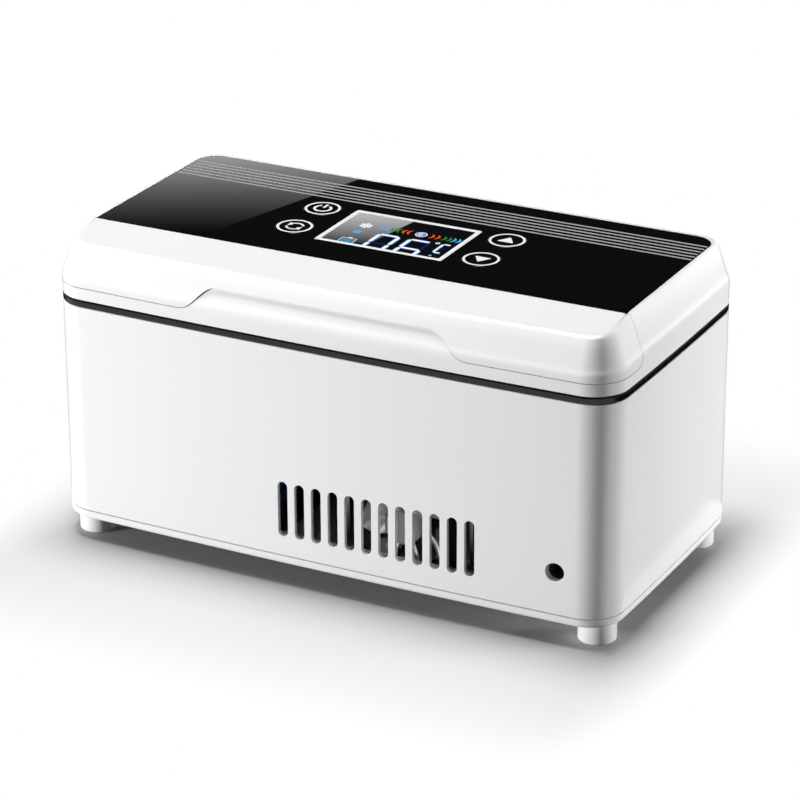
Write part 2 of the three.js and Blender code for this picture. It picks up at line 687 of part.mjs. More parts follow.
// The lid's outer form, or the same form drawn in by a skin and opened below. A scoop sinks the
// wall further: by nothing at the fascia's lower edge, and by its full depth at the notch's top.
function lidForm(skin = 0, scoop = 0) {
  const frontHeight = lidTopAt(caseFront) - rimTop;
  const scoopFoot = fascia.lift / frontHeight;
  const scoopTop = scoopFoot + notch.height / frontHeight;
  const scoopAt = (share) => (
    scoop * THREE.MathUtils.clamp((share - scoopFoot) / (scoopTop - scoopFoot), 0, 1));
  const shares = scoop > 0 ? [...lid.heightShares, scoopFoot].sort((a, b) => a - b) : lid.heightShares;
  const wallRings = shares.map((share) => ringAt(
    caseOutline(skin + leanAt(share) + scoopAt(share)),
    (y) => rimTop + share * (lidTopAt(y) - skin - rimTop),
  ));
  const flat = outline({
    halfWidth: panelHalfWidth - skin,
    front: panelFront,
    rear: panelRear - skin,
    frontRadius: panel.frontRadius,
    rearRadius: panel.rearRadius,
  });
  const below = skin > 0 ? [ringAt(caseOutline(skin), rimTop - overrun)] : [];
  return loft([...below, ...wallRings, ringAt(flat, lidTop - skin)]);
}

// The finger notch as seen from the front: a wide hump with soft shoulders. It runs out a little
// below the fascia's lower edge.
function notchShape(grow) {
  const bottom = fasciaLow - notch.runOut;
  const low = fasciaLow + grow;
  const high = low + notch.height;
  const wide = notch.lowHalf + grow;
  const narrow = notch.highHalf + grow;
  const ease = (wide - narrow) * notch.easeShare;
  const shape = new THREE.Shape();
  shape.moveTo(-wide, bottom);
  shape.lineTo(wide, bottom);
  shape.lineTo(wide, low);
  shape.bezierCurveTo(wide - ease, low, narrow + ease, high, narrow, high);
  shape.lineTo(-narrow, high);
  shape.bezierCurveTo(-narrow - ease, high, ease - wide, low, -wide, low);
  return shape;
}

// The part of the lid that the fascia takes up, as seen from the side, grown by the seam.
function fasciaRoom(grow) {
  const front = caseFront - frontCrown - overrun;
  const rear = panelFront + grow;
  const low = fasciaLow - grow;
  const high = lidTop + overrun;
  const side = new THREE.Shape();
  side.moveTo(front, low);
  side.lineTo(rear - fascia.cornerRadius, low);
  side.absarc(rear - fascia.cornerRadius, low + fascia.cornerRadius, fascia.cornerRadius, -quarterTurn, 0, false);
  side.lineTo(rear, high);
  side.lineTo(front, high);
  const half = caseWidth / 2 + sideCrown + overrun;
  return prism(side, 'x', -half, half)
    .subtract(prism(notchShape(-grow), 'y', front - overrun, panelFront, cornerSteps));
}

const lidFascia = () => lidForm().intersect(fasciaRoom(0)).subtract(lidForm(fascia.wall));

const keys = {
  radius: 6.9, gap: 0.25, flange: 7.7, flangeWall: 0.9, travel: 0.6,
  leftX: -34.5, rightX: 36.2, rearY: 13.2, frontY: -6.8,
};
const keyPlaces = [
  { name: 'power', x: keys.leftX, y: keys.rearY },
  { name: 'mode', x: keys.leftX, y: keys.frontY },
  { name: 'up', x: keys.rightX, y: keys.rearY },
  { name: 'down', x: keys.rightX, y: keys.frontY },
];
const display = { x: 1, y: 1.5, halfWidth: 24, halfDepth: 16, frame: 1.8 };
const displayBlock = (grow, low, high) => block(
  [display.x - display.halfWidth - grow, display.x + display.halfWidth + grow],
  [display.y - display.halfDepth - grow, display.y + display.halfDepth + grow],
  [low, high],
);

const lidBoard = { halfWidth: 47, front: -17, rear: 27, wall: 1.6, drop: 4.2, post: 2.4, postInset: 3.4 };
const lidBoardTop = deckBottom - lidBoard.drop;

// The walls are thin at the sides and rear, and thick behind the fascia and round the lower lip.
function lidFrame() {
  const reach = caseWidth;
  const rearZone = block([-reach, reach], [panelFront + lid.wall, reach], [fasciaLow, deckBottom]);
  const belowDeck = block([-reach, reach], [-reach, reach], [rimBottom, deckBottom]);
  const hollow = lidForm(lid.wall).intersect(rearZone).add(lidForm(behindFascia).intersect(belowDeck));
  const notchRoom = prism(notchShape(0), 'y', caseFront - frontCrown - overrun, panelFront, cornerSteps);
  let frame = lidForm()
    .subtract(fasciaRoom(seatGap).subtract(lidForm(fascia.wall + seatGap)))
    .subtract(notchRoom.subtract(lidForm(0, notch.depth)))
    .subtract(hollow)
    .subtract(panelSlab(-seatGap, deckTop, lidTop + overrun));
  const windows = [
    displayBlock(seatGap - display.frame, deckBottom - overrun, deckTop + overrun),
    ...keyPlaces.map(({ x, y }) => bar(
      'z', keys.flange + runningGap, deckBottom - overrun, deckTop + overrun, new THREE.Vector3(x, y), roundSteps)),
    ...leafScrewPlaces.map(leafScrewHole),
  ];
  frame = cutAll(frame, windows);
  return join([frame, ...lidBoardPosts()]);
}

const lidBoardPosts = () => bothSides.flatMap((side) => [
  lidBoard.front + lidBoard.postInset,
  lidBoard.rear - lidBoard.postInset,
].map((y) => bar('z', lidBoard.post, lidBoardTop + seatGap, deckBottom + deck.wall / 2,
  new THREE.Vector3(side * (lidBoard.halfWidth - lidBoard.postInset), y))));

const panelSlab = (inset, low, high) => loft([low, high].map((level) => ringAt(outline({
  halfWidth: panelHalfWidth - inset,
  front: panelFront + inset,
  rear: panelRear - inset,
  frontRadius: panel.frontRadius,
  rearRadius: panel.rearRadius - inset,
}), level)));

const panelLow = lidTop - panel.wall;

const controlPanel = () => cutAll(panelSlab(0, panelLow, lidTop), [
  displayBlock(seatGap, panelLow - overrun, lidTop + overrun),
  ...keyPlaces.map(({ x, y }) => bar(
    'z', keys.radius + keys.gap, panelLow - overrun, lidTop + overrun, new THREE.Vector3(x, y), roundSteps)),
]);

const displayFrame = () => displayBlock(0, panelLow, lidTop)
  .subtract(displayBlock(-display.frame, panelLow - overrun, lidTop + overrun));
const displayGlass = () => displayBlock(-display.frame - seatGap, panelLow, lidTop);
const displayModule = () => displayBlock(-display.frame - partingGap, lidBoardTop + seatGap, panelLow - seatGap);

const keyCap = () => turned([
  [0, panelLow - seatGap - keys.flangeWall],
  [keys.flange, panelLow - seatGap - keys.flangeWall],
  [keys.flange, panelLow - seatGap],
  [keys.radius, panelLow - seatGap],
  [keys.radius, lidTop],
  [0, lidTop],
]);

const keySwitch = { half: 3, plunger: 1.7, bodyShare: 0.7 };
const plungerTop = panelLow - seatGap - keys.flangeWall - keys.travel - seatGap;
function tactileSwitch({ x, y }) {
  const low = lidBoardTop + seatGap;
  const bodyHigh = low + (plungerTop - low) * keySwitch.bodyShare;
  return block([x - keySwitch.half, x + keySwitch.half], [y - keySwitch.half, y + keySwitch.half], [low, bodyHigh])
    .add(bar('z', keySwitch.plunger, low, plungerTop, new THREE.Vector3(x, y)));
}

const lidBoardBody = () => block([-lidBoard.halfWidth, lidBoard.halfWidth], [lidBoard.front, lidBoard.rear],
  [lidBoardTop - lidBoard.wall, lidBoardTop]);

// Lid liner: a flange that closes the lid below, with a plug that dips into the chamber's mouth

const liner = { lift: 0.5, wall: 1.4, plug: 2.6, plugGap: 1.2 };
const lidLinerLow = rimTop + liner.lift;
const lidLinerTop = lidLinerLow + liner.wall;
const plugLow = rimPlateTop - liner.plug;
const linerInset = behindFascia + seatGap;
const linerPlate = (inset, low, high) => caseForm([[linerInset + inset, low], [linerInset + inset, high]]);

const lidLiner = () => linerPlate(0, lidLinerLow, lidLinerTop)
  .add(chamberSlab(-liner.plugGap, plugLow, lidLinerTop))
  .subtract(chamberSlab(-liner.plugGap - liner.wall, plugLow + liner.wall, lidLinerTop + overrun));

const magnetBody = ({ x, y }) => bar('z', magnet.radius, lidLinerTop + seatGap,
  lidLinerTop + seatGap + magnet.height, new THREE.Vector3(x, y), roundSteps);

const lidFoamInset = lid.topInset;
const lidFoamTop = lidBoardTop - lidBoard.wall - partingGap;
const lidInsulation = () => cutAll(
  linerPlate(lidFoamInset, lidLinerTop + seatGap, lidFoamTop)
    .add(chamberSlab(-liner.plugGap - liner.wall - partingGap, plugLow + liner.wall + seatGap, lidFoamTop)),
  magnetPlaces.map(({ x, y }) => bar('z', magnet.radius + partingGap, lidLinerTop,
    lidLinerTop + seatGap + magnet.height + partingGap, new THREE.Vector3(x, y), roundSteps)),
);

// Fan frame, with its motor carried on struts, and the rotor in front of it

const ductRing = (radius, from, to) => bar('y', radius, from, to, fanCentre, roundSteps);

function fanFrame() {
  const half = fan.size / 2;
  const strutFrom = fanRear - fan.strut;
  const square = new THREE.Shape();
  const corner = half - fan.frameCorner;
  square.absarc(corner, corner, fan.frameCorner, 0, quarterTurn, false);
  square.absarc(-corner, corner, fan.frameCorner, quarterTurn, Math.PI, false);
  square.absarc(-corner, -corner, fan.frameCorner, Math.PI, 3 * quarterTurn, false);
  square.absarc(corner, -corner, fan.frameCorner, 3 * quarterTurn, fullTurn, false);
  const frame = prism(square, 'y', fanFront, fanRear)
    .translate(fanCentre.x, 0, fanCentre.z)
    .subtract(ductRing(fan.duct, fanFront - overrun, fanRear + overrun));
  const reach = (half + fan.duct) / 2;
  const cross = [
    block([fanX - reach, fanX + reach], [strutFrom, fanRear],
      [fanCentre.z - fan.strut / 2, fanCentre.z + fan.strut / 2]),
    block([fanX - fan.strut / 2, fanX + fan.strut / 2], [strutFrom, fanRear],
      [fanCentre.z - reach, fanCentre.z + reach]),
  ];
  return join([frame, ...cross, ductRing(fan.motor, fanRear - fan.motorDepth, fanRear)]);
}

// One blade: sections across the radius, twisted less and less towards the tip.
const blade = { wall: 1, rootAngle: 0.95, tipAngle: 0.5, steps: 4, chordShare: 0.78, sweep: 0.35 };
function fanBlade(depth) {
  const rings = [];
  for (let step = 0; step <= blade.steps; step += 1) {
    const share = step / blade.steps;
    const radius = THREE.MathUtils.lerp(fan.hub - blade.wall, fan.bladeTip, share);
    const angle = THREE.MathUtils.lerp(blade.rootAngle, blade.tipAngle, share);
    const reach = (depth / 2) * blade.chordShare;
    const along = new THREE.Vector2(Math.cos(angle) / Math.sin(angle) * reach, reach);
    const across = new THREE.Vector2(-along.y, along.x).setLength(blade.wall / 2);
    const section = [[1, 1], [-1, 1], [-1, -1], [1, -1]].map(([a, b]) => new THREE.Vector3(
      a * along.x + b * across.x + share * share * blade.sweep * radius,
      a * along.y + b * across.y,
      radius,
    ));
    rings.push(section);
  }
  const wing = loft(rings);
  return wing.volume() > 0 ? wing : loft(rings.map((ring) => [...ring].reverse()));
}

const rotorDepth = fan.depth - fan.motorDepth - runningGap * 2;
function fanRotor() {
  const half = rotorDepth / 2;
  const wing = fanBlade(rotorDepth);
  const wings = [];
  for (let k = 0; k < fan.blades; k += 1) {
    wings.push(wing.rotate([0, THREE.MathUtils.radToDeg((fullTurn * k) / fan.blades), 0]));
  }
  const swept = bar('y', fan.bladeTip, -half, half, new THREE.Vector3(), roundSteps);
  return join([bar('y', fan.hub, -half, half, new THREE.Vector3(), roundSteps), ...wings]).intersect(swept);
}
const rotorCentre = new THREE.Vector3(fanCentre.x, fanFront + runningGap + rotorDepth / 2, fanCentre.z);

// Assembly. The whole is moved so that the origin lies under the middle of its full depth, from
// the bowed front to the back of the hinge barrel.

const fullFront = caseFront - frontCrown;
const fullRear = hingeAxis.y + hinge.radius;
const coolingCase = new THREE.Group();
coolingCase.position.y = -(fullFront + fullRear) / 2;

const body = new THREE.Group();
addPiece(body, 'body_shell', bodyShell(), 'whiteShell');
addPiece(body, 'base_cover', baseCover(), 'whiteShell');
const footSolid = footBody();
const screwSolid = screwBody();
footPlaces.forEach(({ name, x, y }) => {
  addPiece(body, `foot_${name}`, footSolid, 'whiteTrim', new THREE.Vector3(x, y, 0));
  addPiece(body, `base_screw_${name}`, screwSolid, 'steel', new THREE.Vector3(x, y, 0));
});
addPiece(body, 'rim_frame', rimFrame(), 'blackTrim');
addPiece(body, 'hinge_pin', hingePin(), 'steel');
addPiece(body, 'chamber_gasket', chamberGasket(), 'seal');
addPiece(body, 'chamber_liner', chamberLiner(), 'aluminium');
addPiece(body, 'body_insulation', insulation(), 'foam');
addPiece(body, 'pen_tray', penTray(), 'innerPlastic');
addPiece(body, 'cold_block', coolerBlock(cooler.size / 2, moduleTop + seatGap, coldBlockTop), 'aluminium');
addPiece(body, 'thermoelectric_module', coolerBlock(cooler.size / 2, moduleTop - cooler.module, moduleTop), 'ceramic');
addPiece(body, 'heat_sink', heatSink(), 'aluminium');
addPiece(body, 'temperature_sensor', sensorBlock(0, sensor.height), 'darkPlastic');
addPiece(body, 'fan_frame', fanFrame(), 'darkPlastic');
addPiece(body, 'fan_rotor', fanRotor(), 'fanPlastic', rotorCentre);
addPiece(body, 'main_board', mainBoard(), 'board');
addPiece(body, 'power_socket', powerSocket(), 'darkPlastic');
addPiece(body, 'battery_holder', batteryHolder(), 'darkPlastic');
cellRows.forEach((y, k) => addPiece(body, `battery_cell_${k + 1}`, batteryCell(y), 'cellSleeve'));
magnetPlaces.forEach((place) => addPiece(body, `keeper_${place.name}`, keeperDisc(place), 'steel'));
coolingCase.add(body);

// The lid's pieces turn together about the hinge pin.
const lidPivot = new THREE.Group();
lidPivot.position.copy(hingeAxis);
const lidPieces = new THREE.Group();
lidPieces.position.copy(hingeAxis).negate();
addPiece(lidPieces, 'lid_frame', lidFrame(), 'whiteShell');
addPiece(lidPieces, 'lid_fascia', lidFascia(), 'whiteShell');
addPiece(lidPieces, 'hinge_leaf', hingeLeaf(), 'blackTrim');
leafScrewPlaces.forEach((place, k) => (
  addPiece(lidPieces, `hinge_screw_${k + 1}`, leafScrewBody(place), 'steel')));
addPiece(lidPieces, 'control_panel', controlPanel(), 'blackGlass');
addPiece(lidPieces, 'display_frame', displayFrame(), 'whiteTrim');
addPiece(lidPieces, 'display_glass', displayGlass(), 'screenGlass');
addPiece(lidPieces, 'display_module', displayModule(), 'darkPlastic');
addPiece(lidPieces, 'lid_board', lidBoardBody(), 'board');
const keySolid = keyCap();
keyPlaces.forEach((place) => {
  addPiece(lidPieces, `key_${place.name}`, keySolid, 'blackGlass', new THREE.Vector3(place.x, place.y, 0));
  addPiece(lidPieces, `switch_${place.name}`, tactileSwitch(place), 'darkPlastic');
});
addPiece(lidPieces, 'lid_liner', lidLiner(), 'innerPlastic');
addPiece(lidPieces, 'lid_insulation', lidInsulation(), 'foam');
magnetPlaces.forEach((place) => addPiece(lidPieces, `magnet_${place.name}`, magnetBody(place), 'steel'));
lidPivot.add(lidPieces);
coolingCase.add(lidPivot);

export default coolingCase;
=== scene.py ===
# %% [markdown]
# # An insulin cooling case
# This lesson dresses a table-top cooler box for insulin pens: a glossy white case on four feet,
# a black rim, and a hinged lid with a black control panel. The exact solids come from the packed
# CAD model. Blender adds what the eye looks for: rounded edges, printed signs, and the finishes
# of the real materials under soft studio light.

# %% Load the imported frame
import math

import bmesh
import bpy
from mathutils import Matrix, Vector


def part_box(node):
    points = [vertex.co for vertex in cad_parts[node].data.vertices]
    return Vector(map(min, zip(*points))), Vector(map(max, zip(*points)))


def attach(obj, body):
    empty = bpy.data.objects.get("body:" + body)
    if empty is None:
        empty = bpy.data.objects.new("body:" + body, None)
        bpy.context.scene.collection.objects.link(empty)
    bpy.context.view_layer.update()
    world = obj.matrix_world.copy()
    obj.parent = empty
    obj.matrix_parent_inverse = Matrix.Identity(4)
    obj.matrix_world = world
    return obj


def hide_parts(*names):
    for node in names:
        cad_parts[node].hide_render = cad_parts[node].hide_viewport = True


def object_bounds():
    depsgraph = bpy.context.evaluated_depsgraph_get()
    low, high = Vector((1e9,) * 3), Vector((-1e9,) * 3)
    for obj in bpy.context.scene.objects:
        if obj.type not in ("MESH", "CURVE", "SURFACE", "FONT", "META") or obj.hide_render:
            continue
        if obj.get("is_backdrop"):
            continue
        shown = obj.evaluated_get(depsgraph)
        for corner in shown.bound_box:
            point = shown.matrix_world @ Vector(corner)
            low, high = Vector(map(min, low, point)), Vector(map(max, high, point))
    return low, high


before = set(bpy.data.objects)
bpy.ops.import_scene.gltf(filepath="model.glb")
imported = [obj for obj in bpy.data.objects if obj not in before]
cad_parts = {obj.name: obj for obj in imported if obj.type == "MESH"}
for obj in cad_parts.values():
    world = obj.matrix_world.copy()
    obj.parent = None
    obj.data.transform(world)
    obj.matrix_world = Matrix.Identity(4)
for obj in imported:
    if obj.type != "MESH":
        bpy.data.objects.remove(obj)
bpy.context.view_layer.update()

# %% [markdown]
# ## Sizes that everything follows
# The case is a rounded rectangle in plan whose front and sides bow out a little, as moulded
# housings do so that they don't look hollow. Its main sizes are read from the CAD solids, so the
# looks fit them exactly. All shapes below are drawn in millimetres from the middle of the case.

# %% Read the main sizes
MM = 0.001


def box_of(node):
    """The lowest and highest corner of a CAD node, in millimetres."""
    low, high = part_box(node)
    return low / MM, high / MM


FRONT_CROWN = 1.4
SIDE_CROWN = 0.7
CORNER_RADIUS = 12
shell_low, shell_high = box_of("body_shell")
HALF_WIDTH = shell_high.x - SIDE_CROWN
HALF_DEPTH = (shell_high.y - shell_low.y - FRONT_CROWN) / 2
MIDDLE_Y = shell_high.y - HALF_DEPTH


def middle_of(node):
    """The middle of a CAD node in plan, as (x, y) from the middle of the case."""
    low, high = box_of(node)
    return (low.x + high.x) / 2, (low.y + high.y) / 2 - MIDDLE_Y


print(f"case {2 * HALF_WIDTH:.1f} x {2 * HALF_DEPTH:.1f} mm, middle at y {MIDDLE_Y:.2f} mm")

# %% [markdown]
# ## The camera
# The photograph was taken with a long lens from the right of the front and a little above. The
# angles and the distance were fitted to the corners of the case in the picture.

# %% Camera
def add_object(name, data):
    """A new object in the scene."""
    thing = bpy.data.objects.new(name, data)
    bpy.context.scene.collection.objects.link(thing)
    return thing


CAMERA_AZIMUTH = math.radians(27.52)
CAMERA_ELEVATION = math.radians(22.70)
CAMERA_ROLL = math.radians(-0.266)
CAMERA_DISTANCE = 1190.6
CAMERA_TARGET = Vector((0, -2.45, 56.34))

back = Vector((
    math.sin(CAMERA_AZIMUTH) * math.cos(CAMERA_ELEVATION),
    -math.cos(CAMERA_AZIMUTH) * math.cos(CAMERA_ELEVATION),
    math.sin(CAMERA_ELEVATION),
))
level_right = Vector((math.cos(CAMERA_AZIMUTH), math.sin(CAMERA_AZIMUTH), 0))
level_up = back.cross(level_right)
right = level_right * math.cos(CAMERA_ROLL) + level_up * math.sin(CAMERA_ROLL)
up = level_up * math.cos(CAMERA_ROLL) - level_right * math.sin(CAMERA_ROLL)

lens = bpy.data.cameras.new("long_lens")
lens.lens = 155.65
lens.sensor_width = 36
lens.shift_x = 0.00686
lens.shift_y = -0.01887
camera = add_object("camera", lens)
axes = Matrix((right, up, back)).transposed().to_4x4()
camera.matrix_world = Matrix.Translation((CAMERA_TARGET + back * CAMERA_DISTANCE) * MM) @ axes
bpy.context.scene.camera = camera
print("camera at", [round(value, 4) for value in camera.location])

# %% [markdown]
# ## Nodes, colours and materials
# One function adds a node with its settings and its links. Colours are written as sRGB hex values,
# as a paint chart gives them, and one function turns them into the linear light values that the
# renderer works in.

# %% Node and colour helpers
def add(tree, kind, inputs=None, **settings):
    """Adds one node. An input is a plain value, or another node's output to link."""
    node = tree.nodes.new("ShaderNode" + kind)
    for name, value in settings.items():
        setattr(node, name, value)
    for name, value in (inputs or {}).items():
        if isinstance(value, bpy.types.NodeSocket):
            tree.links.new(value, node.inputs[name])
        else:
            node.inputs[name].default_value = value
    return node


def linear(hex_colour):
    """A colour such as 'f2f3f4' as linear red, green, blue and alpha."""
    shares = [int(hex_colour[k:k + 2], 16) / 255 for k in (0, 2, 4)]
    return [s / 12.92 if s <= 0.04045 else ((s + 0.055) / 1.055) ** 2.4 for s in shares] + [1]


def bare_tree(owner):
    """The emptied node tree of a new material or world."""
    owner.use_nodes = True
    owner.node_tree.nodes.clear()
    return owner.node_tree


def new_finish(name):
    """A new material and its empty node tree."""
    material = bpy.data.materials.new(name)
    return material, bare_tree(material)


def finish_with(tree, sockets):
    """Ends a material with a principled shader, whose sockets take values or links."""
    shader = add(tree, "BsdfPrincipled", sockets)
    add(tree, "OutputMaterial", {"Surface": shader.outputs["BSDF"]})


def grain(tree, size, detail=2.0):
    """A soft noise whose spots are about size millimetres across, the same on every piece."""
    spot = add(tree, "TexCoord").outputs["Object"]
    return add(tree, "TexNoise", {"Vector": spot, "Scale": 1 / (size * MM), "Detail": detail})


def blend_between(tree, share, low, high):
    """A value that runs from low to high as share runs from 0.3 to 0.7, noise's usual span."""
    scaled = add(tree, "MapRange", {"Value": share, "From Min": 0.3, "From Max": 0.7,
                                    "To Min": low, "To Max": high})
    return scaled.outputs["Result"]


print("white plastic in linear light:", [round(value, 3) for value in linear("f1f2f3")])

# %% [markdown]
# ## Gloss white ABS
# The case is injection-moulded ABS from a polished tool. Polished ABS is smooth but never as flat
# as glass: the plastic shrinks as it cools, so the reflections wander a little. A flat white would
# look like paper. So a very low bump with waves of about 9 mm, the spacing of sink marks over ribs,
# bends the reflections, and a faint variation of the gloss stands for handling. The same plastic,
# dyed, makes the feet, the display frame, and the satin black rim and hinge.

# %% Gloss white ABS
SINK_SPACING = 9
HAND_PATCH = 14
DYE_CLOUD = 60


def gloss_abs(name, hex_colour, shade_hex, roughness, specular=0.5):
    """Moulded ABS: the colour wanders with the dye, the gloss with handling."""
    material, tree = new_finish(name)
    clouds = grain(tree, DYE_CLOUD).outputs["Fac"]
    colour = add(tree, "Mix", {"Factor": clouds, "A": linear(hex_colour), "B": linear(shade_hex)},
                 data_type="RGBA")
    patches = grain(tree, HAND_PATCH, 4).outputs["Fac"]
    handling = blend_between(tree, patches, roughness * 0.85, roughness * 1.2)
    sink_waves = grain(tree, SINK_SPACING, 0).outputs["Fac"]
    bump = add(tree, "Bump", {"Strength": 0.08, "Distance": 0.05 * MM, "Height": sink_waves})
    finish_with(tree, {"Base Color": colour.outputs["Result"], "Roughness": handling, "IOR": 1.53,
                       "Specular IOR Level": specular, "Normal": bump.outputs["Normal"]})
    return material


white_abs = gloss_abs("moulded_gloss_white_abs", "f3f3f4", "f0f1f2", 0.16)
foot_abs = gloss_abs("moulded_white_foot_abs", "f5f5f6", "f2f3f4", 0.12)
frame_abs = gloss_abs("moulded_bright_white_frame_abs", "fdfdfd", "fafbfc", 0.2)
black_abs = gloss_abs("moulded_satin_black_abs", "060607", "080809", 0.24, 0.4)
print("made", white_abs.name, foot_abs.name, black_abs.name)

# %% [markdown]
# ## Mesh helpers
# A moulded housing is the same outline drawn in or out at different heights. So each piece is
# skinned from rings: lists of points with the same count. A list of (inset, height) pairs is a
# cross-section of the wall, and where the section closes on itself the piece is a hollow frame.

# %% Outline and skin
CORNER_STEPS = 12
SIDE_STEPS = 16
QUARTER = math.pi / 2


def rounded_plan(half_width, front, rear, front_radius, rear_radius, front_bow=0, side_bow=0):
    """A rounded rectangle whose front and sides bow out, as points round the outline."""
    corners = [
        (half_width - front_radius, front + front_radius, front_radius, -QUARTER),
        (half_width - rear_radius, rear - rear_radius, rear_radius, 0),
        (rear_radius - half_width, rear - rear_radius, rear_radius, QUARTER),
        (front_radius - half_width, front + front_radius, front_radius, math.pi),
    ]

    def on_corner(corner, step):
        x, y, radius, start = corner
        angle = start + QUARTER * step / CORNER_STEPS
        normal = Vector((math.cos(angle), math.sin(angle)))
        return Vector((x, y)) + normal * radius, normal

    places = []
    for corner, next_corner in zip(corners, corners[1:] + corners[:1]):
        places += [on_corner(corner, step) for step in range(CORNER_STEPS + 1)]
        (begin, normal), (end, _) = on_corner(corner, CORNER_STEPS), on_corner(next_corner, 0)
        places += [(begin.lerp(end, step / SIDE_STEPS), normal) for step in range(1, SIDE_STEPS)]
    middle, half_depth = (front + rear) / 2, (rear - front) / 2
    return [(
        point.x + normal.x * side_bow * (1 - ((point.y - middle) / half_depth) ** 2),
        point.y + min(normal.y, 0) * front_bow * (1 - (point.x / half_width) ** 2),
    ) for point, normal in places]


def case_plan(inset):
    """The outline of the case, drawn in by inset."""
    radius = max(CORNER_RADIUS - inset, 1)
    return rounded_plan(HALF_WIDTH - inset, inset - HALF_DEPTH, HALF_DEPTH - inset,
                        radius, radius, FRONT_CROWN, SIDE_CROWN)


def lifted(plan, height):
    """A flat outline as a ring of points at one height."""
    return [(x, y, height) for x, y in plan]


def skin(rings, closed=False):
    """One closed surface over rings of equally many points, capped unless the rings close."""
    shape = bmesh.new()
    rows = [[shape.verts.new(point) for point in ring] for ring in rings]
    pairs = list(zip(rows, rows[1:]))
    if closed:
        pairs.append((rows[-1], rows[0]))
    else:
        shape.faces.new(rows[0][::-1])
        shape.faces.new(rows[-1])
    count = len(rows[0])
    for low, high in pairs:
        for k in range(count):
            shape.faces.new((low[k], low[(k + 1) % count], high[(k + 1) % count], high[k]))
    bmesh.ops.recalc_face_normals(shape, faces=shape.faces)
    return shape


print("points round the case:", len(case_plan(0)))

# %% [markdown]
# Two more ways of shaping cover the small parts. A prism runs one flat outline along an axis, as an
# extrusion does, and a turned shape runs a profile round an axis, as a lathe does.

# %% Prisms and turned shapes
# Across x an outline is (y, z), across y it is (x, z), and across z it is (x, y).
LIFTS = {
    "x": lambda a, b, along: (along, a, b),
    "y": lambda a, b, along: (a, along, b),
    "z": lambda a, b, along: (a, b, along),
}
NEEDLE = 0.001


def prism(points, axis, low, high):
    """A flat outline run along an axis."""
    return skin([[LIFTS[axis](a, b, along) for a, b in points] for along in (low, high)])


def slab(x_span, y_span, z_span):
    """A block between two limits on each axis."""
    (x_low, x_high), (y_low, y_high) = x_span, y_span
    plan = [(x_low, y_low), (x_high, y_low), (x_high, y_high), (x_low, y_high)]
    return prism(plan, "z", *z_span)


def round_outline(radius, a, b, steps=40):
    """A circle about (a, b) as outline points."""
    turns = [2 * math.pi * k / steps for k in range(steps)]
    return [(a + radius * math.cos(turn), b + radius * math.sin(turn)) for turn in turns]


def turned(profile, a=0, b=0, axis="z", steps=64, closed=False):
    """A profile of (radius, along) points turned round an axis through (a, b)."""
    rings = []
    for radius, along in profile:
        circle = round_outline(max(radius, NEEDLE), a, b, steps)
        rings.append([LIFTS[axis](*point, along) for point in circle])
    shape = skin(rings, closed)
    bmesh.ops.remove_doubles(shape, verts=shape.verts, dist=3 * NEEDLE)
    return shape


disc = turned([(0, 0), (10, 0), (10, 2), (0, 2)])
print("volume of a turned disc, cubic mm:", round(disc.calc_volume()), "of", round(math.pi * 200))
disc.free()

# %% [markdown]
# Every edge of a moulded piece has a small radius, and it is that radius which draws the thin
# bright or dark lines along real edges. `filleted` rounds the corners of a section, and `ring_of`
# sweeps a section round an outline.

# %% Rounded sections
FILLET_STEPS = 4


def filleted(points, radius, closed=True, steps=FILLET_STEPS):
    """Section points with each corner replaced by an arc. An open section keeps its ends."""
    rounded = []
    count = len(points)
    for k, corner in enumerate(points):
        corner = Vector(corner)
        if not closed and k in (0, count - 1):
            rounded.append(tuple(corner))
            continue
        before = Vector(points[k - 1]) - corner
        after = Vector(points[(k + 1) % count]) - corner
        half_angle = before.angle(after) / 2
        reach = min(radius / math.tan(half_angle), before.length * 0.45, after.length * 0.45)
        arc_radius = reach * math.tan(half_angle)
        centre = corner + (before.normalized() + after.normalized()).normalized() * (
            arc_radius / math.sin(half_angle))
        begin = corner + before.normalized() * reach - centre
        end = corner + after.normalized() * reach - centre
        turn = math.atan2(begin.x * end.y - begin.y * end.x, begin.dot(end))
        for step in range(steps + 1):
            angle = turn * step / steps
            rounded.append((
                centre.x + begin.x * math.cos(angle) - begin.y * math.sin(angle),
                centre.y + begin.x * math.sin(angle) + begin.y * math.cos(angle),
            ))
    return rounded


def rings_of(plan_at, section):
    """One ring of points for each (offset, height) of a section that runs round an outline."""
    return [lifted(plan_at(offset), height) for offset, height in section]


def ring_of(plan_at, section, closed=True):
    """Sweeps a section round an outline. A closed section makes a hollow frame."""
    return skin(rings_of(plan_at, section), closed)


def bezier(begin, handle_a, handle_b, end, steps=14):
    """Points on a curve from begin to end that leaves and arrives along its two handles."""
    begin, end = Vector(begin), Vector(end)
    handle_a, handle_b = Vector(handle_a), Vector(handle_b)
    curve = []
    for step in range(steps + 1):
        t = step / steps
        curve.append(tuple(begin * (1 - t) ** 3 + 3 * handle_a * t * (1 - t) ** 2
                           + 3 * handle_b * t ** 2 * (1 - t) + end * t ** 3))
    return curve


square = [(0, 0), (1, 0), (1, 1), (0, 1)]
print("a square with rounded corners has", len(filleted(square, 0.2)), "points")

# %% [markdown]
# Openings are cut with solid tools, as a mill or a mould core makes them. The result is cleaned of
# doubled points and shaded smooth, with real edges kept sharp by their angle.

# %% Cutting and placing
WELD = 0.004


def mesh_of(shape, name="scratch"):
    """Turns a shape into a mesh, and frees the shape."""
    mesh = bpy.data.meshes.new(name)
    shape.to_mesh(mesh)
    shape.free()
    return mesh


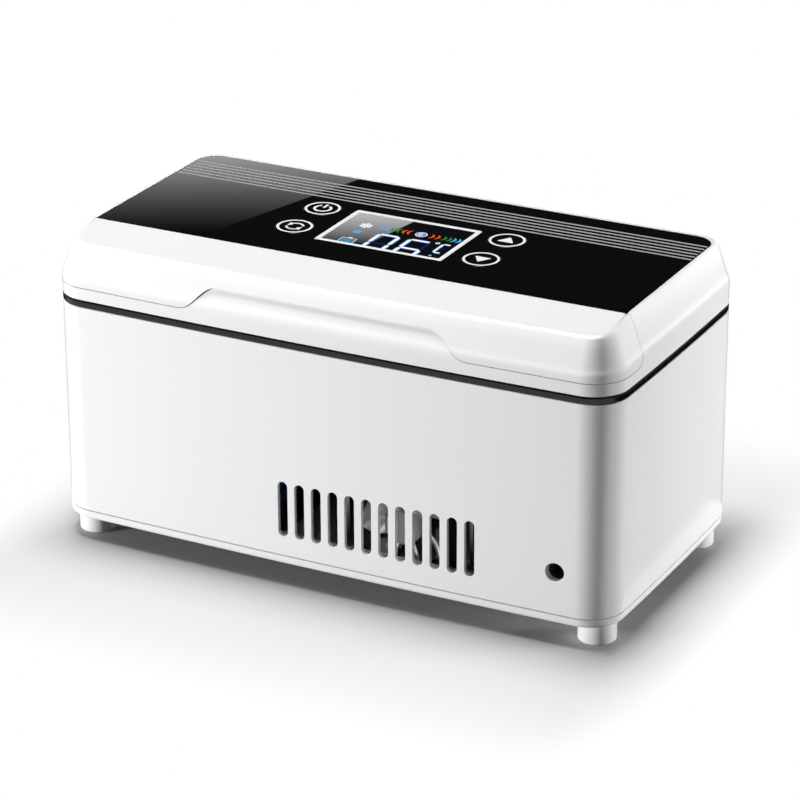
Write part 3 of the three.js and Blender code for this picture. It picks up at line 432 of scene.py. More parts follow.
def carve(whole, tool, operation="DIFFERENCE"):
    """Cuts, joins or intersects one closed shape with another."""
    target, cutter = (add_object("scratch", mesh_of(shape)) for shape in (whole, tool))
    boolean = target.modifiers.new("carve", "BOOLEAN")
    boolean.operation = operation
    boolean.solver = "MANIFOLD"
    boolean.object = cutter
    bpy.context.view_layer.update()
    evaluated = target.evaluated_get(bpy.context.evaluated_depsgraph_get())
    result = bmesh.new()
    result.from_mesh(evaluated.to_mesh())
    evaluated.to_mesh_clear()
    for thing in (target, cutter):
        mesh = thing.data
        bpy.data.objects.remove(thing)
        bpy.data.meshes.remove(mesh)
    bmesh.ops.remove_doubles(result, verts=result.verts, dist=WELD)
    return result


def merged(shapes):
    """Several separate shapes as one."""
    whole = bmesh.new()
    for shape in shapes:
        mesh = mesh_of(shape)
        whole.from_mesh(mesh)
        bpy.data.meshes.remove(mesh)
    return whole


def place(name, body, shape, material, stands_for=(), sharp=32):
    """Turns a shape in millimetres into a piece in metres that rides on a body of the CAD model."""
    mesh = mesh_of(shape, name)
    mesh.transform(Matrix.Translation((0, MIDDLE_Y * MM, 0)) @ Matrix.Scale(MM, 4))
    mesh.materials.append(material)
    mesh.polygons.foreach_set("use_smooth", [True] * len(mesh.polygons))
    mesh.set_sharp_from_angle(angle=math.radians(sharp))
    thing = add_object(name, mesh)
    even = thing.modifiers.new("even_shading", "WEIGHTED_NORMAL")
    even.keep_sharp = True
    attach(thing, body)
    if stands_for:
        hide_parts(*stands_for)
    return thing


drilled = carve(slab((0, 10), (0, 10), (0, 10)), slab((4, 6), (-1, 11), (4, 6)))
print("volume of a drilled block, cubic mm:", round(drilled.calc_volume()), "of", 1000 - 40)
drilled.free()

# %% [markdown]
# ## Body shell
# The shell is a moulded tube with a wall of 2.4 mm. Its twelve vent slots let the fan breathe,
# and the round hole at the right takes the power plug. A texture could only paint the slots, and
# the fan has to show through them, so they are cut. Behind the vents the wall is thinner, as
# grilles often are, so that the slots don't look like tunnels. Each slot's tool flares at the
# wall's surface, which gives every slot the softly rounded lip of a moulded opening.

# %% Body shell
SHELL_WALL = 2.4
SHELL_LOW = 11.2
EDGE = 0.4
LIP = 0.3
GRILLE_WALL = 1.3
LIP_START = math.radians(22)
VENT = {"count": 12, "pitch": 6.34, "width": 3.5, "length": 20, "middle": 20.4, "low": 18.4}
POCKET = {"margin": 1.5, "depth": 4, "steps": 12}
JACK = {"x": 85.9, "z": 26.3, "radius": 3.2, "lip": 0.5}


def wall_y(x):
    """Where the bowed front wall lies at a place across."""
    return -HALF_DEPTH - FRONT_CROWN * (1 - (x / HALF_WIDTH) ** 2)


def stadium(width, length, middle, low, steps=10):
    """A slot outline with round ends, seen from the front."""
    radius = width / 2
    arcs = [(low + radius, math.pi), (low + length - radius, 0)]
    return [(middle + radius * math.cos(start + math.pi * k / steps),
             centre + radius * math.sin(start + math.pi * k / steps))
            for centre, start in arcs for k in range(steps + 1)]


def flared_tool(outline_at, depth, lip=LIP):
    """A tool that cuts the front wall. outline_at(grow) gives its outline, grown at the lip."""
    stages = [(lip * (1 - math.sin(LIP_START)) + 0.9, -0.36)]
    for k in range(5):
        angle = LIP_START + (QUARTER - LIP_START) * k / 4
        stages.append((lip * (1 - math.sin(angle)), lip * (math.cos(LIP_START) - math.cos(angle))))
    stages.append((0, depth))
    return skin([[(x, wall_y(x) + inward, z) for x, z in outline_at(grow)]
                 for grow, inward in stages])


def vent_tool(k):
    """The tool for one vent slot, counted from the left."""
    middle = VENT["middle"] + (k - (VENT["count"] - 1) / 2) * VENT["pitch"]
    return flared_tool(lambda grow: stadium(
        VENT["width"] + 2 * grow, VENT["length"] + 2 * grow, middle, VENT["low"] - grow),
        SHELL_WALL + 1)


def jack_outline(grow):
    """The round hole for the power plug."""
    return round_outline(JACK["radius"] + grow, JACK["x"], JACK["z"])


shell = ring_of(case_plan, filleted([
    (0, SHELL_LOW), (0, shell_high.z), (SHELL_WALL, shell_high.z), (SHELL_WALL, SHELL_LOW)], EDGE))
half_field = VENT["count"] * VENT["pitch"] / 2
across = [VENT["middle"] + half_field * (2 * k / POCKET["steps"] - 1)
          for k in range(POCKET["steps"] + 1)]
pocket_rear = POCKET["depth"] - HALF_DEPTH
thinned = [(x, wall_y(x) + GRILLE_WALL) for x in across]
pocket = prism(thinned + [(across[-1], pocket_rear), (across[0], pocket_rear)], "z",
               VENT["low"] - POCKET["margin"], VENT["low"] + VENT["length"] + POCKET["margin"])
shell = carve(shell, pocket)
shell = carve(shell, merged([vent_tool(k) for k in range(VENT["count"])]))
shell = carve(shell, flared_tool(jack_outline, SHELL_WALL + 1, JACK["lip"]))
body = place("moulded_body_shell", "case", shell, white_abs, ["body_shell"])
print("body shell faces:", len(body.data.polygons))

# %% [markdown]
# ## Base cover
# The base is a shallow tray whose edge tucks under the shell, which leaves a thin dark line all
# round. That line could be painted, but a real gap of a few tenths of a millimetre also catches the
# light along its lower edge, so the gap is modelled. Nine slots below the heat sink draw in air.

# %% Base cover
base_low, base_high = box_of("base_cover")
BASE_TOP = base_low.z + 3
PLATE_TOP = base_low.z + 2.4
LIP_OUTER = SHELL_WALL + 0.2
LIP_INNER = LIP_OUTER + 1.6
base_section = filleted([
    (8, base_low.z), (0.9, base_low.z), (0.3, base_low.z + 0.4), (0, base_low.z + 1.1),
    (0, BASE_TOP), (LIP_OUTER, BASE_TOP), (LIP_OUTER, base_high.z), (LIP_INNER, base_high.z),
    (LIP_INNER, PLATE_TOP),
    (8, PLATE_TOP)], 0.35, closed=False, steps=3)
INTAKE = {"count": 9, "width": 2.6, "pitch": 5.2, "length": 46}
SINK_MIDDLE = middle_of("heat_sink")
FEET = {corner: middle_of("foot_" + corner)
        for corner in ("front_left", "front_right", "rear_left", "rear_right")}


def through_base(outline):
    """A tool that cuts right through the base plate."""
    return prism(outline, "z", base_low.z - 1, PLATE_TOP + 1)


def intake_tool(k):
    """One long slot under the heat sink, where the fan draws its air."""
    middle = SINK_MIDDLE[0] + (k - (INTAKE["count"] - 1) / 2) * INTAKE["pitch"]
    front_end = SINK_MIDDLE[1] - INTAKE["length"] / 2
    return through_base(stadium(INTAKE["width"], INTAKE["length"], middle, front_end))


SCREW_HOLE = 1.7
base_openings = [intake_tool(k) for k in range(INTAKE["count"])]
base_openings += [through_base(round_outline(SCREW_HOLE, x, y)) for x, y in FEET.values()]
base_shape = carve(ring_of(case_plan, base_section, closed=False), merged(base_openings))
place("moulded_base_cover", "case", base_shape, white_abs, ["base_cover"])
print("base cover from z", round(base_low.z, 2), "to", round(base_high.z, 2),
      "with", len(base_openings), "openings")

# %% [markdown]
# ## Feet
# Each foot is a moulded cup, open below, with the screw that holds it inside. A cup is round, so it
# is one profile turned round its axis, and rounding the profile's corners rounds every edge.

# %% Feet
FOOT = {"outer": 6.5, "mouth": 3.4, "screw": 1.8, "seat": 4, "edge": 0.6}
foot_high = box_of("foot_front_left")[1].z
foot_section = filleted([
    (FOOT["mouth"], FOOT["seat"]), (FOOT["mouth"], 0), (FOOT["outer"], 0),
    (FOOT["outer"], foot_high), (FOOT["screw"], foot_high), (FOOT["screw"], FOOT["seat"])],
    FOOT["edge"])
for name, (x, y) in FEET.items():
    place("foot_cup_" + name, "case", turned(foot_section, x, y, closed=True), foot_abs,
          ["foot_" + name])
print("feet:", ", ".join(FEET))

# %% [markdown]
# ## Rim frame
# A black band parts the body from the lid. It is a plate with a wide chamber opening, a groove for
# the seal, and a skirt that drops into the shell. A single ring of sections makes it: the outer
# sections follow the case, the inner ones follow the chamber, and the ring closes on itself.

# %% Rim frame
RIM_BOTTOM = shell_high.z + 0.2
RIM_TOP = RIM_BOTTOM + 2.4
RIM_PLATE_TOP = RIM_TOP - 0.3
CHAMBER = {"half_width": 90, "half_depth": 35, "radius": 6}


def chamber_plan(grow):
    """The outline of the chamber's mouth, grown outwards."""
    radius = CHAMBER["radius"] + grow
    return rounded_plan(CHAMBER["half_width"] + grow, -CHAMBER["half_depth"] - grow,
                        CHAMBER["half_depth"] + grow, radius, radius)


GASKET = {"inset": 1.4, "width": 2.6, "sunk": 1.2, "proud": 0.35}
gasket_outer = GASKET["inset"] + GASKET["width"]
groove_floor = RIM_PLATE_TOP - GASKET["sunk"] - 0.2
SKIRT = {"inner": 4.2, "outer": 2.6, "depth": 5}
rim_outer = filleted([
    (SKIRT["inner"], RIM_BOTTOM - SKIRT["depth"]), (SKIRT["outer"], RIM_BOTTOM - SKIRT["depth"]),
    (SKIRT["outer"], RIM_BOTTOM), (0, RIM_BOTTOM), (0, RIM_PLATE_TOP), (12, RIM_PLATE_TOP)],
    0.35, closed=False)[:-1]
rim_inner = [
    (gasket_outer + 0.2, RIM_PLATE_TOP), (gasket_outer + 0.2, groove_floor),
    (GASKET["inset"] - 0.2, groove_floor), (GASKET["inset"] - 0.2, RIM_PLATE_TOP),
    (0.4, RIM_PLATE_TOP), (0, RIM_PLATE_TOP - 0.4), (0, RIM_BOTTOM)]
rim_rings = rings_of(case_plan, rim_outer) + rings_of(chamber_plan, rim_inner)
rim_rings += rings_of(case_plan, [(SKIRT["inner"], RIM_BOTTOM)])
rim_shape = skin(rim_rings, closed=True)
print("rim band from z", round(RIM_BOTTOM, 2), "to", round(RIM_PLATE_TOP, 2))

# %% [markdown]
# ## Hinge
# The hinge is a real one: knuckles on the rim and on the lid's leaf take turns along one steel pin.
# A plain rod would look right only when shut. So each knuckle is a turned barrel with a bore, and a
# web joins it to its own side.

# %% Hinge knuckles on the rim
HINGE = {"y": HALF_DEPTH + 3.3, "z": RIM_BOTTOM + 1.2, "radius": 3, "bore": 1.2, "half": 97}
RIM_KNUCKLES = [(-97, -85), (-15, 15), (85, 97)]
LEAF_KNUCKLES = [(-84.6, -15.4), (15.4, 84.6)]


def knuckle(span):
    """One barrel of the hinge with softened ends."""
    low, high = span
    soft = 0.3
    profile = [(0, low), (HINGE["radius"] - soft, low), (HINGE["radius"], low + soft),
               (HINGE["radius"], high - soft), (HINGE["radius"] - soft, high), (0, high)]
    return turned(profile, HINGE["y"], HINGE["z"], "x", 48)


def pin_bore():
    """The tool that drills all knuckles for the pin."""
    reach = HINGE["half"] + 3
    return prism(round_outline(HINGE["bore"], HINGE["y"], HINGE["z"], 24), "x", -reach, reach)


webs = [slab(span, (HALF_DEPTH - 0.6, HINGE["y"]), (RIM_BOTTOM, RIM_PLATE_TOP))
        for span in RIM_KNUCKLES]
rim_shape = carve(rim_shape, merged(webs), "UNION")
rim_shape = carve(rim_shape, merged([knuckle(span) for span in RIM_KNUCKLES]), "UNION")
rim = place("moulded_rim_frame", "case", carve(rim_shape, pin_bore()), black_abs,
            ["rim_frame"])
print("rim frame faces:", len(rim.data.polygons))

# %% [markdown]
# ## Metals
# Rolling, extruding or milling leaves fine parallel lines, so a metal is bright across them and
# softer along them. The true lines are about 0.02 mm apart. They are drawn 0.5 to 1 mm apart here,
# since finer ones would vanish in the picture, and a noise stretched along the work stands for them.

# %% Drawn, extruded and plated metals
def darker(hex_colour, share):
    """The colour at a share of its light."""
    return [channel * share for channel in linear(hex_colour)[:3]] + [1]


def metal(name, hex_colour, roughness, grain_size, stretch=(1, 1, 1), depth=0.004):
    """A metal whose fine grain is drawn out along one direction by how it was worked."""
    material, tree = new_finish(name)
    spot = add(tree, "TexCoord").outputs["Object"]
    drawn_out = add(tree, "VectorMath", {0: spot, 1: stretch}, operation="MULTIPLY").outputs["Vector"]
    lines = add(tree, "TexNoise", {
        "Vector": drawn_out, "Scale": 1 / (grain_size * MM), "Detail": 3.0}).outputs["Fac"]
    tone = add(tree, "Mix", {"Factor": lines, "A": linear(hex_colour),
                             "B": darker(hex_colour, 0.86)}, data_type="RGBA")
    gloss = blend_between(tree, lines, roughness * 0.8, roughness * 1.25)
    bump = add(tree, "Bump", {"Strength": 0.3, "Distance": depth * MM, "Height": lines})
    finish_with(tree, {"Base Color": tone.outputs["Result"], "Roughness": gloss, "Metallic": 1.0,
                       "Normal": bump.outputs["Normal"]})
    return material


# Anodising leaves a clear hard skin, so the metal looks satin and a little milky.
drawn_aluminium = metal("anodised_drawn_aluminium", "d2d4d6", 0.38, 0.8, (1, 1, 0.15))
extruded_aluminium = metal("extruded_aluminium", "c4c7ca", 0.42, 0.6, (1, 0.04, 1))
milled_aluminium = metal("milled_aluminium", "cfd1d3", 0.3, 0.5, (0.1, 1, 1))
# Zinc plating is bluish and slightly cloudy; nickel is warmer and smoother.
zinc_steel = metal("zinc_plated_steel", "b6bbc2", 0.28, 0.7)
nickel_magnet = metal("nickel_plated_magnet", "c9c5bd", 0.18, 1.2)
print("metals:", *(finish.name for finish in (
    drawn_aluminium, extruded_aluminium, milled_aluminium, zinc_steel, nickel_magnet)))

# %% [markdown]
# ## Matt materials
# The inner plastics come from textured moulds. Spark erosion leaves the steel of such a mould with
# tiny pits, and the plastic copies them, which is why these pieces look matt. The true pits are
# about 0.1 mm wide; they are drawn 0.4 mm wide here, since finer ones would vanish in the picture.

# %% Matt plastics, silicone and foam
def textured(name, hex_colour, shade_hex, roughness, pit_size, depth, specular=0.5, ior=1.5):
    """A matt moulded or cast material: pits of one size and a tone that wanders a little."""
    material, tree = new_finish(name)
    pits = grain(tree, pit_size, 2).outputs["Fac"]
    clouds = grain(tree, 40).outputs["Fac"]
    tone = add(tree, "Mix", {"Factor": clouds, "A": linear(hex_colour), "B": linear(shade_hex)},
               data_type="RGBA")
    bump = add(tree, "Bump", {"Strength": 0.5, "Distance": depth * MM, "Height": pits})
    gloss = blend_between(tree, pits, roughness * 0.9, roughness * 1.1)
    finish_with(tree, {"Base Color": tone.outputs["Result"], "Roughness": gloss, "IOR": ior,
                       "Specular IOR Level": specular, "Normal": bump.outputs["Normal"]})
    return material


tray_plastic = textured("textured_grey_polypropylene", "dfe3e7", "d8dce1", 0.5, 0.4, 0.03)
fan_plastic = textured("moulded_light_grey_pbt", "eceded", "e6e7e8", 0.42, 0.4, 0.01)
dark_pbt = textured("glass_filled_black_pbt", "2e2e31", "353538", 0.55, 0.4, 0.03)
silicone = textured("moulded_silicone_seal", "2b2c2e", "303134", 0.6, 0.6, 0.01, 0.4, 1.41)
# Poured polyurethane foam shows its cells, about 0.8 mm across where the skin is thin.
foam = textured("poured_polyurethane_foam", "eadfbe", "e0d2a8", 0.85, 0.8, 0.15, 0.3)
alumina = textured("sintered_alumina", "f1efe8", "ebe8df", 0.35, 0.5, 0.004, 0.6, 1.76)
sleeve = textured("shrunk_blue_pvc_sleeve", "1f4f9c", "1a4489", 0.28, 5, 0.03)
print("matt finishes:", tray_plastic.name, fan_plastic.name, dark_pbt.name, foam.name)

# %% [markdown]
# ## Circuit board
# A circuit board is glass cloth in epoxy under a green solder mask. The copper tracks below the mask
# lift it a little and look brighter. They are 0.2 mm wide in fields about 1.6 mm across, so the
# borders of stretched cells stand for the runs of track.

# %% Circuit board
TRACK_FIELD = 1.6
board_green, tree = new_finish("solder_masked_board")
on_board = add(tree, "TexCoord").outputs["Object"]
stretched = add(tree, "VectorMath", {0: on_board, 1: (1, 0.3, 1)}, operation="MULTIPLY")
cells = add(tree, "TexVoronoi",
            {"Vector": stretched.outputs["Vector"], "Scale": 1 / (TRACK_FIELD * MM)},
            feature="DISTANCE_TO_EDGE", distance="EUCLIDEAN").outputs["Distance"]
track = add(tree, "MapRange", {"Value": cells, "From Min": 0.06, "From Max": 0.12}).outputs["Result"]
mask_tone = add(tree, "Mix", {"Factor": track, "A": linear("1c5c33"), "B": linear("0f3d20")},
                data_type="RGBA")
lift = add(tree, "Bump", {"Strength": 0.4, "Distance": 0.03 * MM, "Height": track}, invert=True)
finish_with(tree, {"Base Color": mask_tone.outputs["Result"], "Roughness": 0.32, "IOR": 1.5,
                   "Normal": lift.outputs["Normal"]})
print("board finish:", board_green.name)

# %% [markdown]
# ## Chamber and seal
# With the lid open the eye meets the seal, the chamber and the pen tray. The chamber is a deep-drawn
# aluminium pan with a flat flange and a large radius at its floor, as sheet takes when a press
# pulls it down. The seal is a silicone strip, a little proud of its groove so that the lid presses
# it. Both are sections swept round the chamber's mouth, which keeps their walls even.

# %% Chamber and seal
liner_low, liner_high = box_of("chamber_liner")
LINER_WALL = 1.2
LINER_FLANGE = 5.2
chamber_floor = liner_low.z + LINER_WALL
flange_low = liner_high.z - LINER_WALL
pan_outside = filleted([
    (-2, liner_low.z), (LINER_WALL, liner_low.z), (LINER_WALL, flange_low),
    (LINER_FLANGE, flange_low), (LINER_FLANGE, liner_high.z), (0, liner_high.z),
    (0, chamber_floor + 8)], 0.5, closed=False)[:-1]
PAN_RADIUS = 3.5
pan_floor = filleted([(0, chamber_floor + 8), (0, chamber_floor), (-5, chamber_floor)],
                     PAN_RADIUS, closed=False, steps=8)
pan = ring_of(chamber_plan, pan_outside + pan_floor, closed=False)
place("drawn_chamber_pan", "case", pan, drawn_aluminium, ["chamber_liner"])
seal_low, seal_high = RIM_PLATE_TOP - GASKET["sunk"], RIM_PLATE_TOP + GASKET["proud"]
seal_section = filleted([(GASKET["inset"], seal_low), (gasket_outer, seal_low),
                         (gasket_outer, seal_high), (GASKET["inset"], seal_high)], 0.5)
place("silicone_chamber_seal", "case", ring_of(chamber_plan, seal_section), silicone,
      ["chamber_gasket"])
print("chamber depth:", round(liner_high.z - chamber_floor, 1), "mm")

# %% [markdown]
# ## Pen tray
# The pen tray is one wavy sheet with a trough for each pen, standing on two end walls. Cutting
# troughs into a block would leave thick walls that no moulder would pay for, so the sheet is drawn
# as two parallel waves. Each end wall dips in the middle, so that two fingers can lift the tray out.

# %% Pen tray
tray_low, tray_high = box_of("pen_tray")
TROUGH = {"radius": 10, "wall": 1.2, "pitch": 21.2, "count": 3}
TRAY_END_WALL = 1.6
GRIP = {"half": 11, "depth": 4}
tray_half = tray_high.x
tray_depth = (tray_high.y - tray_low.y) / 2
TROUGH_STEPS = 20


def wave(radius, level):
    """The line of one side of the wavy sheet, from front to rear."""
    line = [(-tray_depth, level)]
    reach = math.acos(min(TROUGH["pitch"] / 2 / radius, 1))
    for k in range(TROUGH["count"]):
        middle = (k - (TROUGH["count"] - 1) / 2) * TROUGH["pitch"]
        begin = math.asin((tray_high.z - level) / radius) if k == 0 else reach
        end = math.asin((tray_high.z - level) / radius) if k == TROUGH["count"] - 1 else reach
        for step in range(TROUGH_STEPS + 1):
            turn = math.pi + begin + (math.pi - begin - end) * step / TROUGH_STEPS
            line.append((middle + radius * math.cos(turn), tray_high.z + radius * math.sin(turn)))
    return line + [(tray_depth, level)]


upper = wave(TROUGH["radius"], tray_high.z)
lower = wave(TROUGH["radius"] + TROUGH["wall"], tray_high.z - TROUGH["wall"])
tray_shape = prism(upper + lower[::-1], "x", -tray_half, tray_half)
dip = bezier((-GRIP["half"], 0), (-GRIP["half"] * 0.6, 0),
             (-GRIP["half"] * 0.7, -GRIP["depth"]), (0, -GRIP["depth"]))
dip += [(-y, z) for y, z in dip[-2::-1]]
end_outline = [(-tray_depth, tray_low.z), (tray_depth, tray_low.z), (tray_depth, tray_high.z)]
end_outline += [(y, tray_high.z + z) for y, z in dip[::-1]] + [(-tray_depth, tray_high.z)]
for side in (-1, 1):
    limits = sorted((side * tray_half, side * (tray_half - TRAY_END_WALL)))
    tray_shape = carve(tray_shape, prism(end_outline, "x", *limits), "UNION")
tray = place("moulded_pen_tray", "case", tray_shape, tray_plastic, ["pen_tray"])
print("pen tray:", TROUGH["count"], "troughs, faces", len(tray.data.polygons))

# %% [markdown]
# ## Fan
# Seen through the vents, the fan is a hub with seven blades. A blade meets the air at a steep angle
# near the hub and a flat one at its tip, because the tip moves faster. So its section is turned
# step by step along the radius, and bent round the axis so that the tip follows the duct. A flat
# paddle would be quicker to draw, but its edges would look wrong even through narrow slots.

# %% Fan rotor
rotor_low, rotor_high = box_of("fan_rotor")
frame_low, frame_high = box_of("fan_frame")
FAN = {"x": (frame_low.x + frame_high.x) / 2, "z": (frame_low.z + frame_high.z) / 2,
       "hub": 6.6, "tip": 15.6, "blades": 7, "root_angle": 0.95, "tip_angle": 0.5, "sweep": 0.35,
       "blade_wall": 1}
BLADE_SECTION = [(1, 0.3), (0.5, 1), (0, 1.2), (-0.5, 1), (-1, 0.3), (-1, -0.3), (-0.5, -0.6),
                 (0, -0.5), (0.5, -0.6), (1, -0.3)]
rotor_front, rotor_rear = rotor_low.y - MIDDLE_Y, rotor_high.y - MIDDLE_Y
rotor_middle = (rotor_front + rotor_rear) / 2
BLADE_STEPS = 10


def blade_section(share, first_turn):
    """One section of a blade: a thin curved strip, wrapped round the fan's axis."""
    radius = FAN["hub"] - 0.8 + (FAN["tip"] - FAN["hub"] + 0.8) * share
    angle = FAN["root_angle"] + (FAN["tip_angle"] - FAN["root_angle"]) * share
    reach = (rotor_rear - rotor_front) / 2 * 0.78
    along = Vector((reach / math.tan(angle), reach))
    across = Vector((-along.y, along.x)).normalized()
    ring = []
    for a, b in BLADE_SECTION:
        point = along * a + across * b * FAN["blade_wall"] / 2
        turn = first_turn + (point.x + share ** 2 * FAN["sweep"] * radius) / radius
        ring.append((FAN["x"] + radius * math.sin(turn), rotor_middle + point.y,
                     FAN["z"] + radius * math.cos(turn)))
    return ring


def fan_blade(k):
    """One blade, lofted from the hub to the tip."""
    first_turn = 2 * math.pi * k / FAN["blades"]
    return skin([blade_section(step / BLADE_STEPS, first_turn) for step in range(BLADE_STEPS + 1)])


hub_edge = filleted([(0.5, rotor_front), (FAN["hub"], rotor_front), (FAN["hub"], rotor_rear)], 1.2,
                    closed=False, steps=6)
hub_profile = [(0, rotor_front), *hub_edge, (0, rotor_rear)]
rotor_shape = turned(hub_profile, FAN["x"], FAN["z"], "y", 56)
for k in range(FAN["blades"]):
    rotor_shape = carve(rotor_shape, fan_blade(k), "UNION")
rotor = place("fan_rotor_blades", "fan", rotor_shape, fan_plastic, ["fan_rotor"])
print("fan rotor:", FAN["blades"], "blades, faces", len(rotor.data.polygons))

# %% [markdown]
# ## Lid
# The lid's walls rise straight and then lean in more and more, a form that a mould releases easily.
# In front of the control panel the top slopes down to the front edge. A smooth curve runs through
# a few measured points of the wall's section, and the top edge gets a soft radius.

# %% Lid form
LID_HEIGHT = 21.4
LID_TOP = RIM_TOP + LID_HEIGHT
PANEL = {"half_width": 99.2, "front": -30.5, "rear": 45.6, "front_radius": 1, "rear_radius": 7.5}
BEZEL_SLOPE = 2.8 / (22.1 - 4.9)
NOTCH_LIFT = 4.6
NOTCH_RISE = 8.4
LID_WALL = [(0, 0), (0, 7.5), (1, 10.7), (2.45, 15.4), (3.82, 19.3), (4.9, LID_HEIGHT)]


def smooth_curve(points, steps=5):
    """A curve through the points, each stretch bent by its neighbours."""
    points = [Vector(point) for point in points]
    ends = [2 * points[0] - points[1], *points, 2 * points[-1] - points[-2]]
    curve = []
    for before, begin, end, after in zip(ends, ends[1:], ends[2:], ends[3:]):
        for step in range(steps):
            t = step / steps
            curve.append(0.5 * (2 * begin + (end - before) * t
                         + (2 * before - 5 * begin + 4 * end - after) * t ** 2
                         + (3 * begin - before - 3 * end + after) * t ** 3))
    return [tuple(point) for point in curve] + [tuple(points[-1])]


def lid_top_at(y):
    """How high the lid's top lies: flat over the panel, and falling in front of it."""
    return LID_TOP - BEZEL_SLOPE * max(PANEL["front"] - y, 0)


def panel_plan(inset=0):
    """The outline of the control panel, drawn in by inset."""
    return rounded_plan(PANEL["half_width"] - inset, PANEL["front"] + inset, PANEL["rear"] - inset,
                        PANEL["front_radius"], PANEL["rear_radius"] - inset)


wall_curve = [(max(inset, 0), height) for inset, height in smooth_curve(LID_WALL)]
bottom_edge = filleted([(1, 0), (0, 0), (0, 3)], 0.45, closed=False)[:-1]


def lid_section(edge_radius, run):
    """The outer section of the lid's wall, with its top edge rounded by a radius."""
    top_edge = filleted([wall_curve[-7], wall_curve[-1], (LID_WALL[-1][0] + run, LID_HEIGHT)],
                        edge_radius, closed=False, steps=8)
    return bottom_edge + wall_curve[1:-6] + top_edge[1:-1]


side_section = lid_section(1.35, 1.9)
front_section = lid_section(4.2, 8)


def scoop_share(height):
    """How much of the notch's depth the front wall has at a height above the rim."""
    front_height = height * (lid_top_at(-HALF_DEPTH) - RIM_TOP) / LID_HEIGHT
    return min(max((front_height - NOTCH_LIFT) / NOTCH_RISE, 0), 1)


def front_share(y):
    """0 beside and behind the panel, and 1 at the front edge, with a smooth change between."""
    t = min(max((PANEL["front"] - y) / 14, 0), 1)
    return t * t * (3 - 2 * t)


def lid_form(skin_depth=0, scoop=0):
    """The lid's outer form, or the same form drawn in by a skin and run on below the lid. A scoop
    sinks the wall from nothing at the cap's lower edge to its full depth at the notch's top. The
    faces are twisted four-sided ones, which a cut can't follow exactly, so they become triangles."""
    sections = zip(wall_curve, wall_curve) if skin_depth else zip(side_section, front_section)
    share = (LID_HEIGHT - skin_depth) / LID_HEIGHT
    rings = [lifted(case_plan(skin_depth), RIM_TOP - 1)] if skin_depth else []
    for at_side, at_front in sections:
        plans = [case_plan(skin_depth + inset + scoop_share(height) * scoop)
                 for inset, height in (at_side, at_front)]
        ring = []
        for side_point, front_point in zip(*plans):
            blend = front_share(side_point[1])
            x, y = Vector(side_point).lerp(Vector(front_point), blend)
            lift = share * (at_side[1] + (at_front[1] - at_side[1]) * blend)
            ring.append((x, y, RIM_TOP + lift * (lid_top_at(y) - RIM_TOP) / LID_HEIGHT))
        rings.append(ring)
    rings.append(lifted(panel_plan(skin_depth), LID_TOP - skin_depth))
    form = skin(rings)
    bmesh.ops.triangulate(form, faces=form.faces)
    return form


probe = lid_form()
print("lid form volume, cubic cm:", round(probe.calc_volume() / 1000, 1))
probe.free()

# %% [markdown]
# ## Front cap
# The lid's front is a separate cap: it wraps round both corners, and its lower edge rises in the
# middle over a shallow finger notch. A hairline seam parts it from the lid. Both are cut from the
# same form with the same tool, as two parts of one mould would be, so they always meet.

# %% Front cap
SEAM = 0.22
FASCIA = {"wall": 1.4, "low": RIM_TOP + NOTCH_LIFT, "corner": 3.5, "notch_depth": 1.2}
NOTCH = {"low_half": 54, "high_half": 39.5, "height": NOTCH_RISE, "ease": 0.45, "run_out": 4}


def notch_outline(grow=0):
    """The finger notch from the front: a wide hump with soft shoulders."""
    low = FASCIA["low"] + grow
    high = low + NOTCH["height"]
    wide, narrow = NOTCH["low_half"] + grow, NOTCH["high_half"] + grow
    ease = (wide - narrow) * NOTCH["ease"]
    right_half = bezier((wide, low), (wide - ease, low), (narrow + ease, high), (narrow, high))
    left_half = [(-x, z) for x, z in right_half[::-1]]
    bottom = FASCIA["low"] - NOTCH["run_out"]
    return [(-wide, bottom), (wide, bottom), *right_half, *left_half]


def fascia_room(grow=0):
    """The space in the lid's form that the front cap takes up, grown by the seam."""
    rear, low, radius = PANEL["front"] + grow, FASCIA["low"] - grow, FASCIA["corner"]
    turns = [QUARTER * k / 8 for k in range(9)]
    corner = [(rear - radius * (1 - math.sin(turn)), low + radius * (1 - math.cos(turn)))
              for turn in turns]
    side = [(-HALF_DEPTH - 4, low), *corner, (rear, LID_TOP + 1), (-HALF_DEPTH - 4, LID_TOP + 1)]
    room = prism(side, "x", -HALF_WIDTH - 4, HALF_WIDTH + 4)
    return carve(room, prism(notch_outline(-grow), "y", -HALF_DEPTH - 5, PANEL["front"]))


cap = carve(lid_form(), fascia_room(), "INTERSECT")
cap = carve(cap, lid_form(FASCIA["wall"]))
front_cap = place("moulded_lid_front_cap", "lid", cap, white_abs, ["lid_fascia"])
print("front cap faces:", len(front_cap.data.polygons))

# %% [markdown]
# ## Lid frame
# The rest of the lid is one frame: outer walls, a sunken deck that carries the panel, a window for
# the display and a hole below each key. It starts as the same solid form as the cap. Cutting away
# what isn't plastic is safer than joining walls, since it can't leave gaps between them.

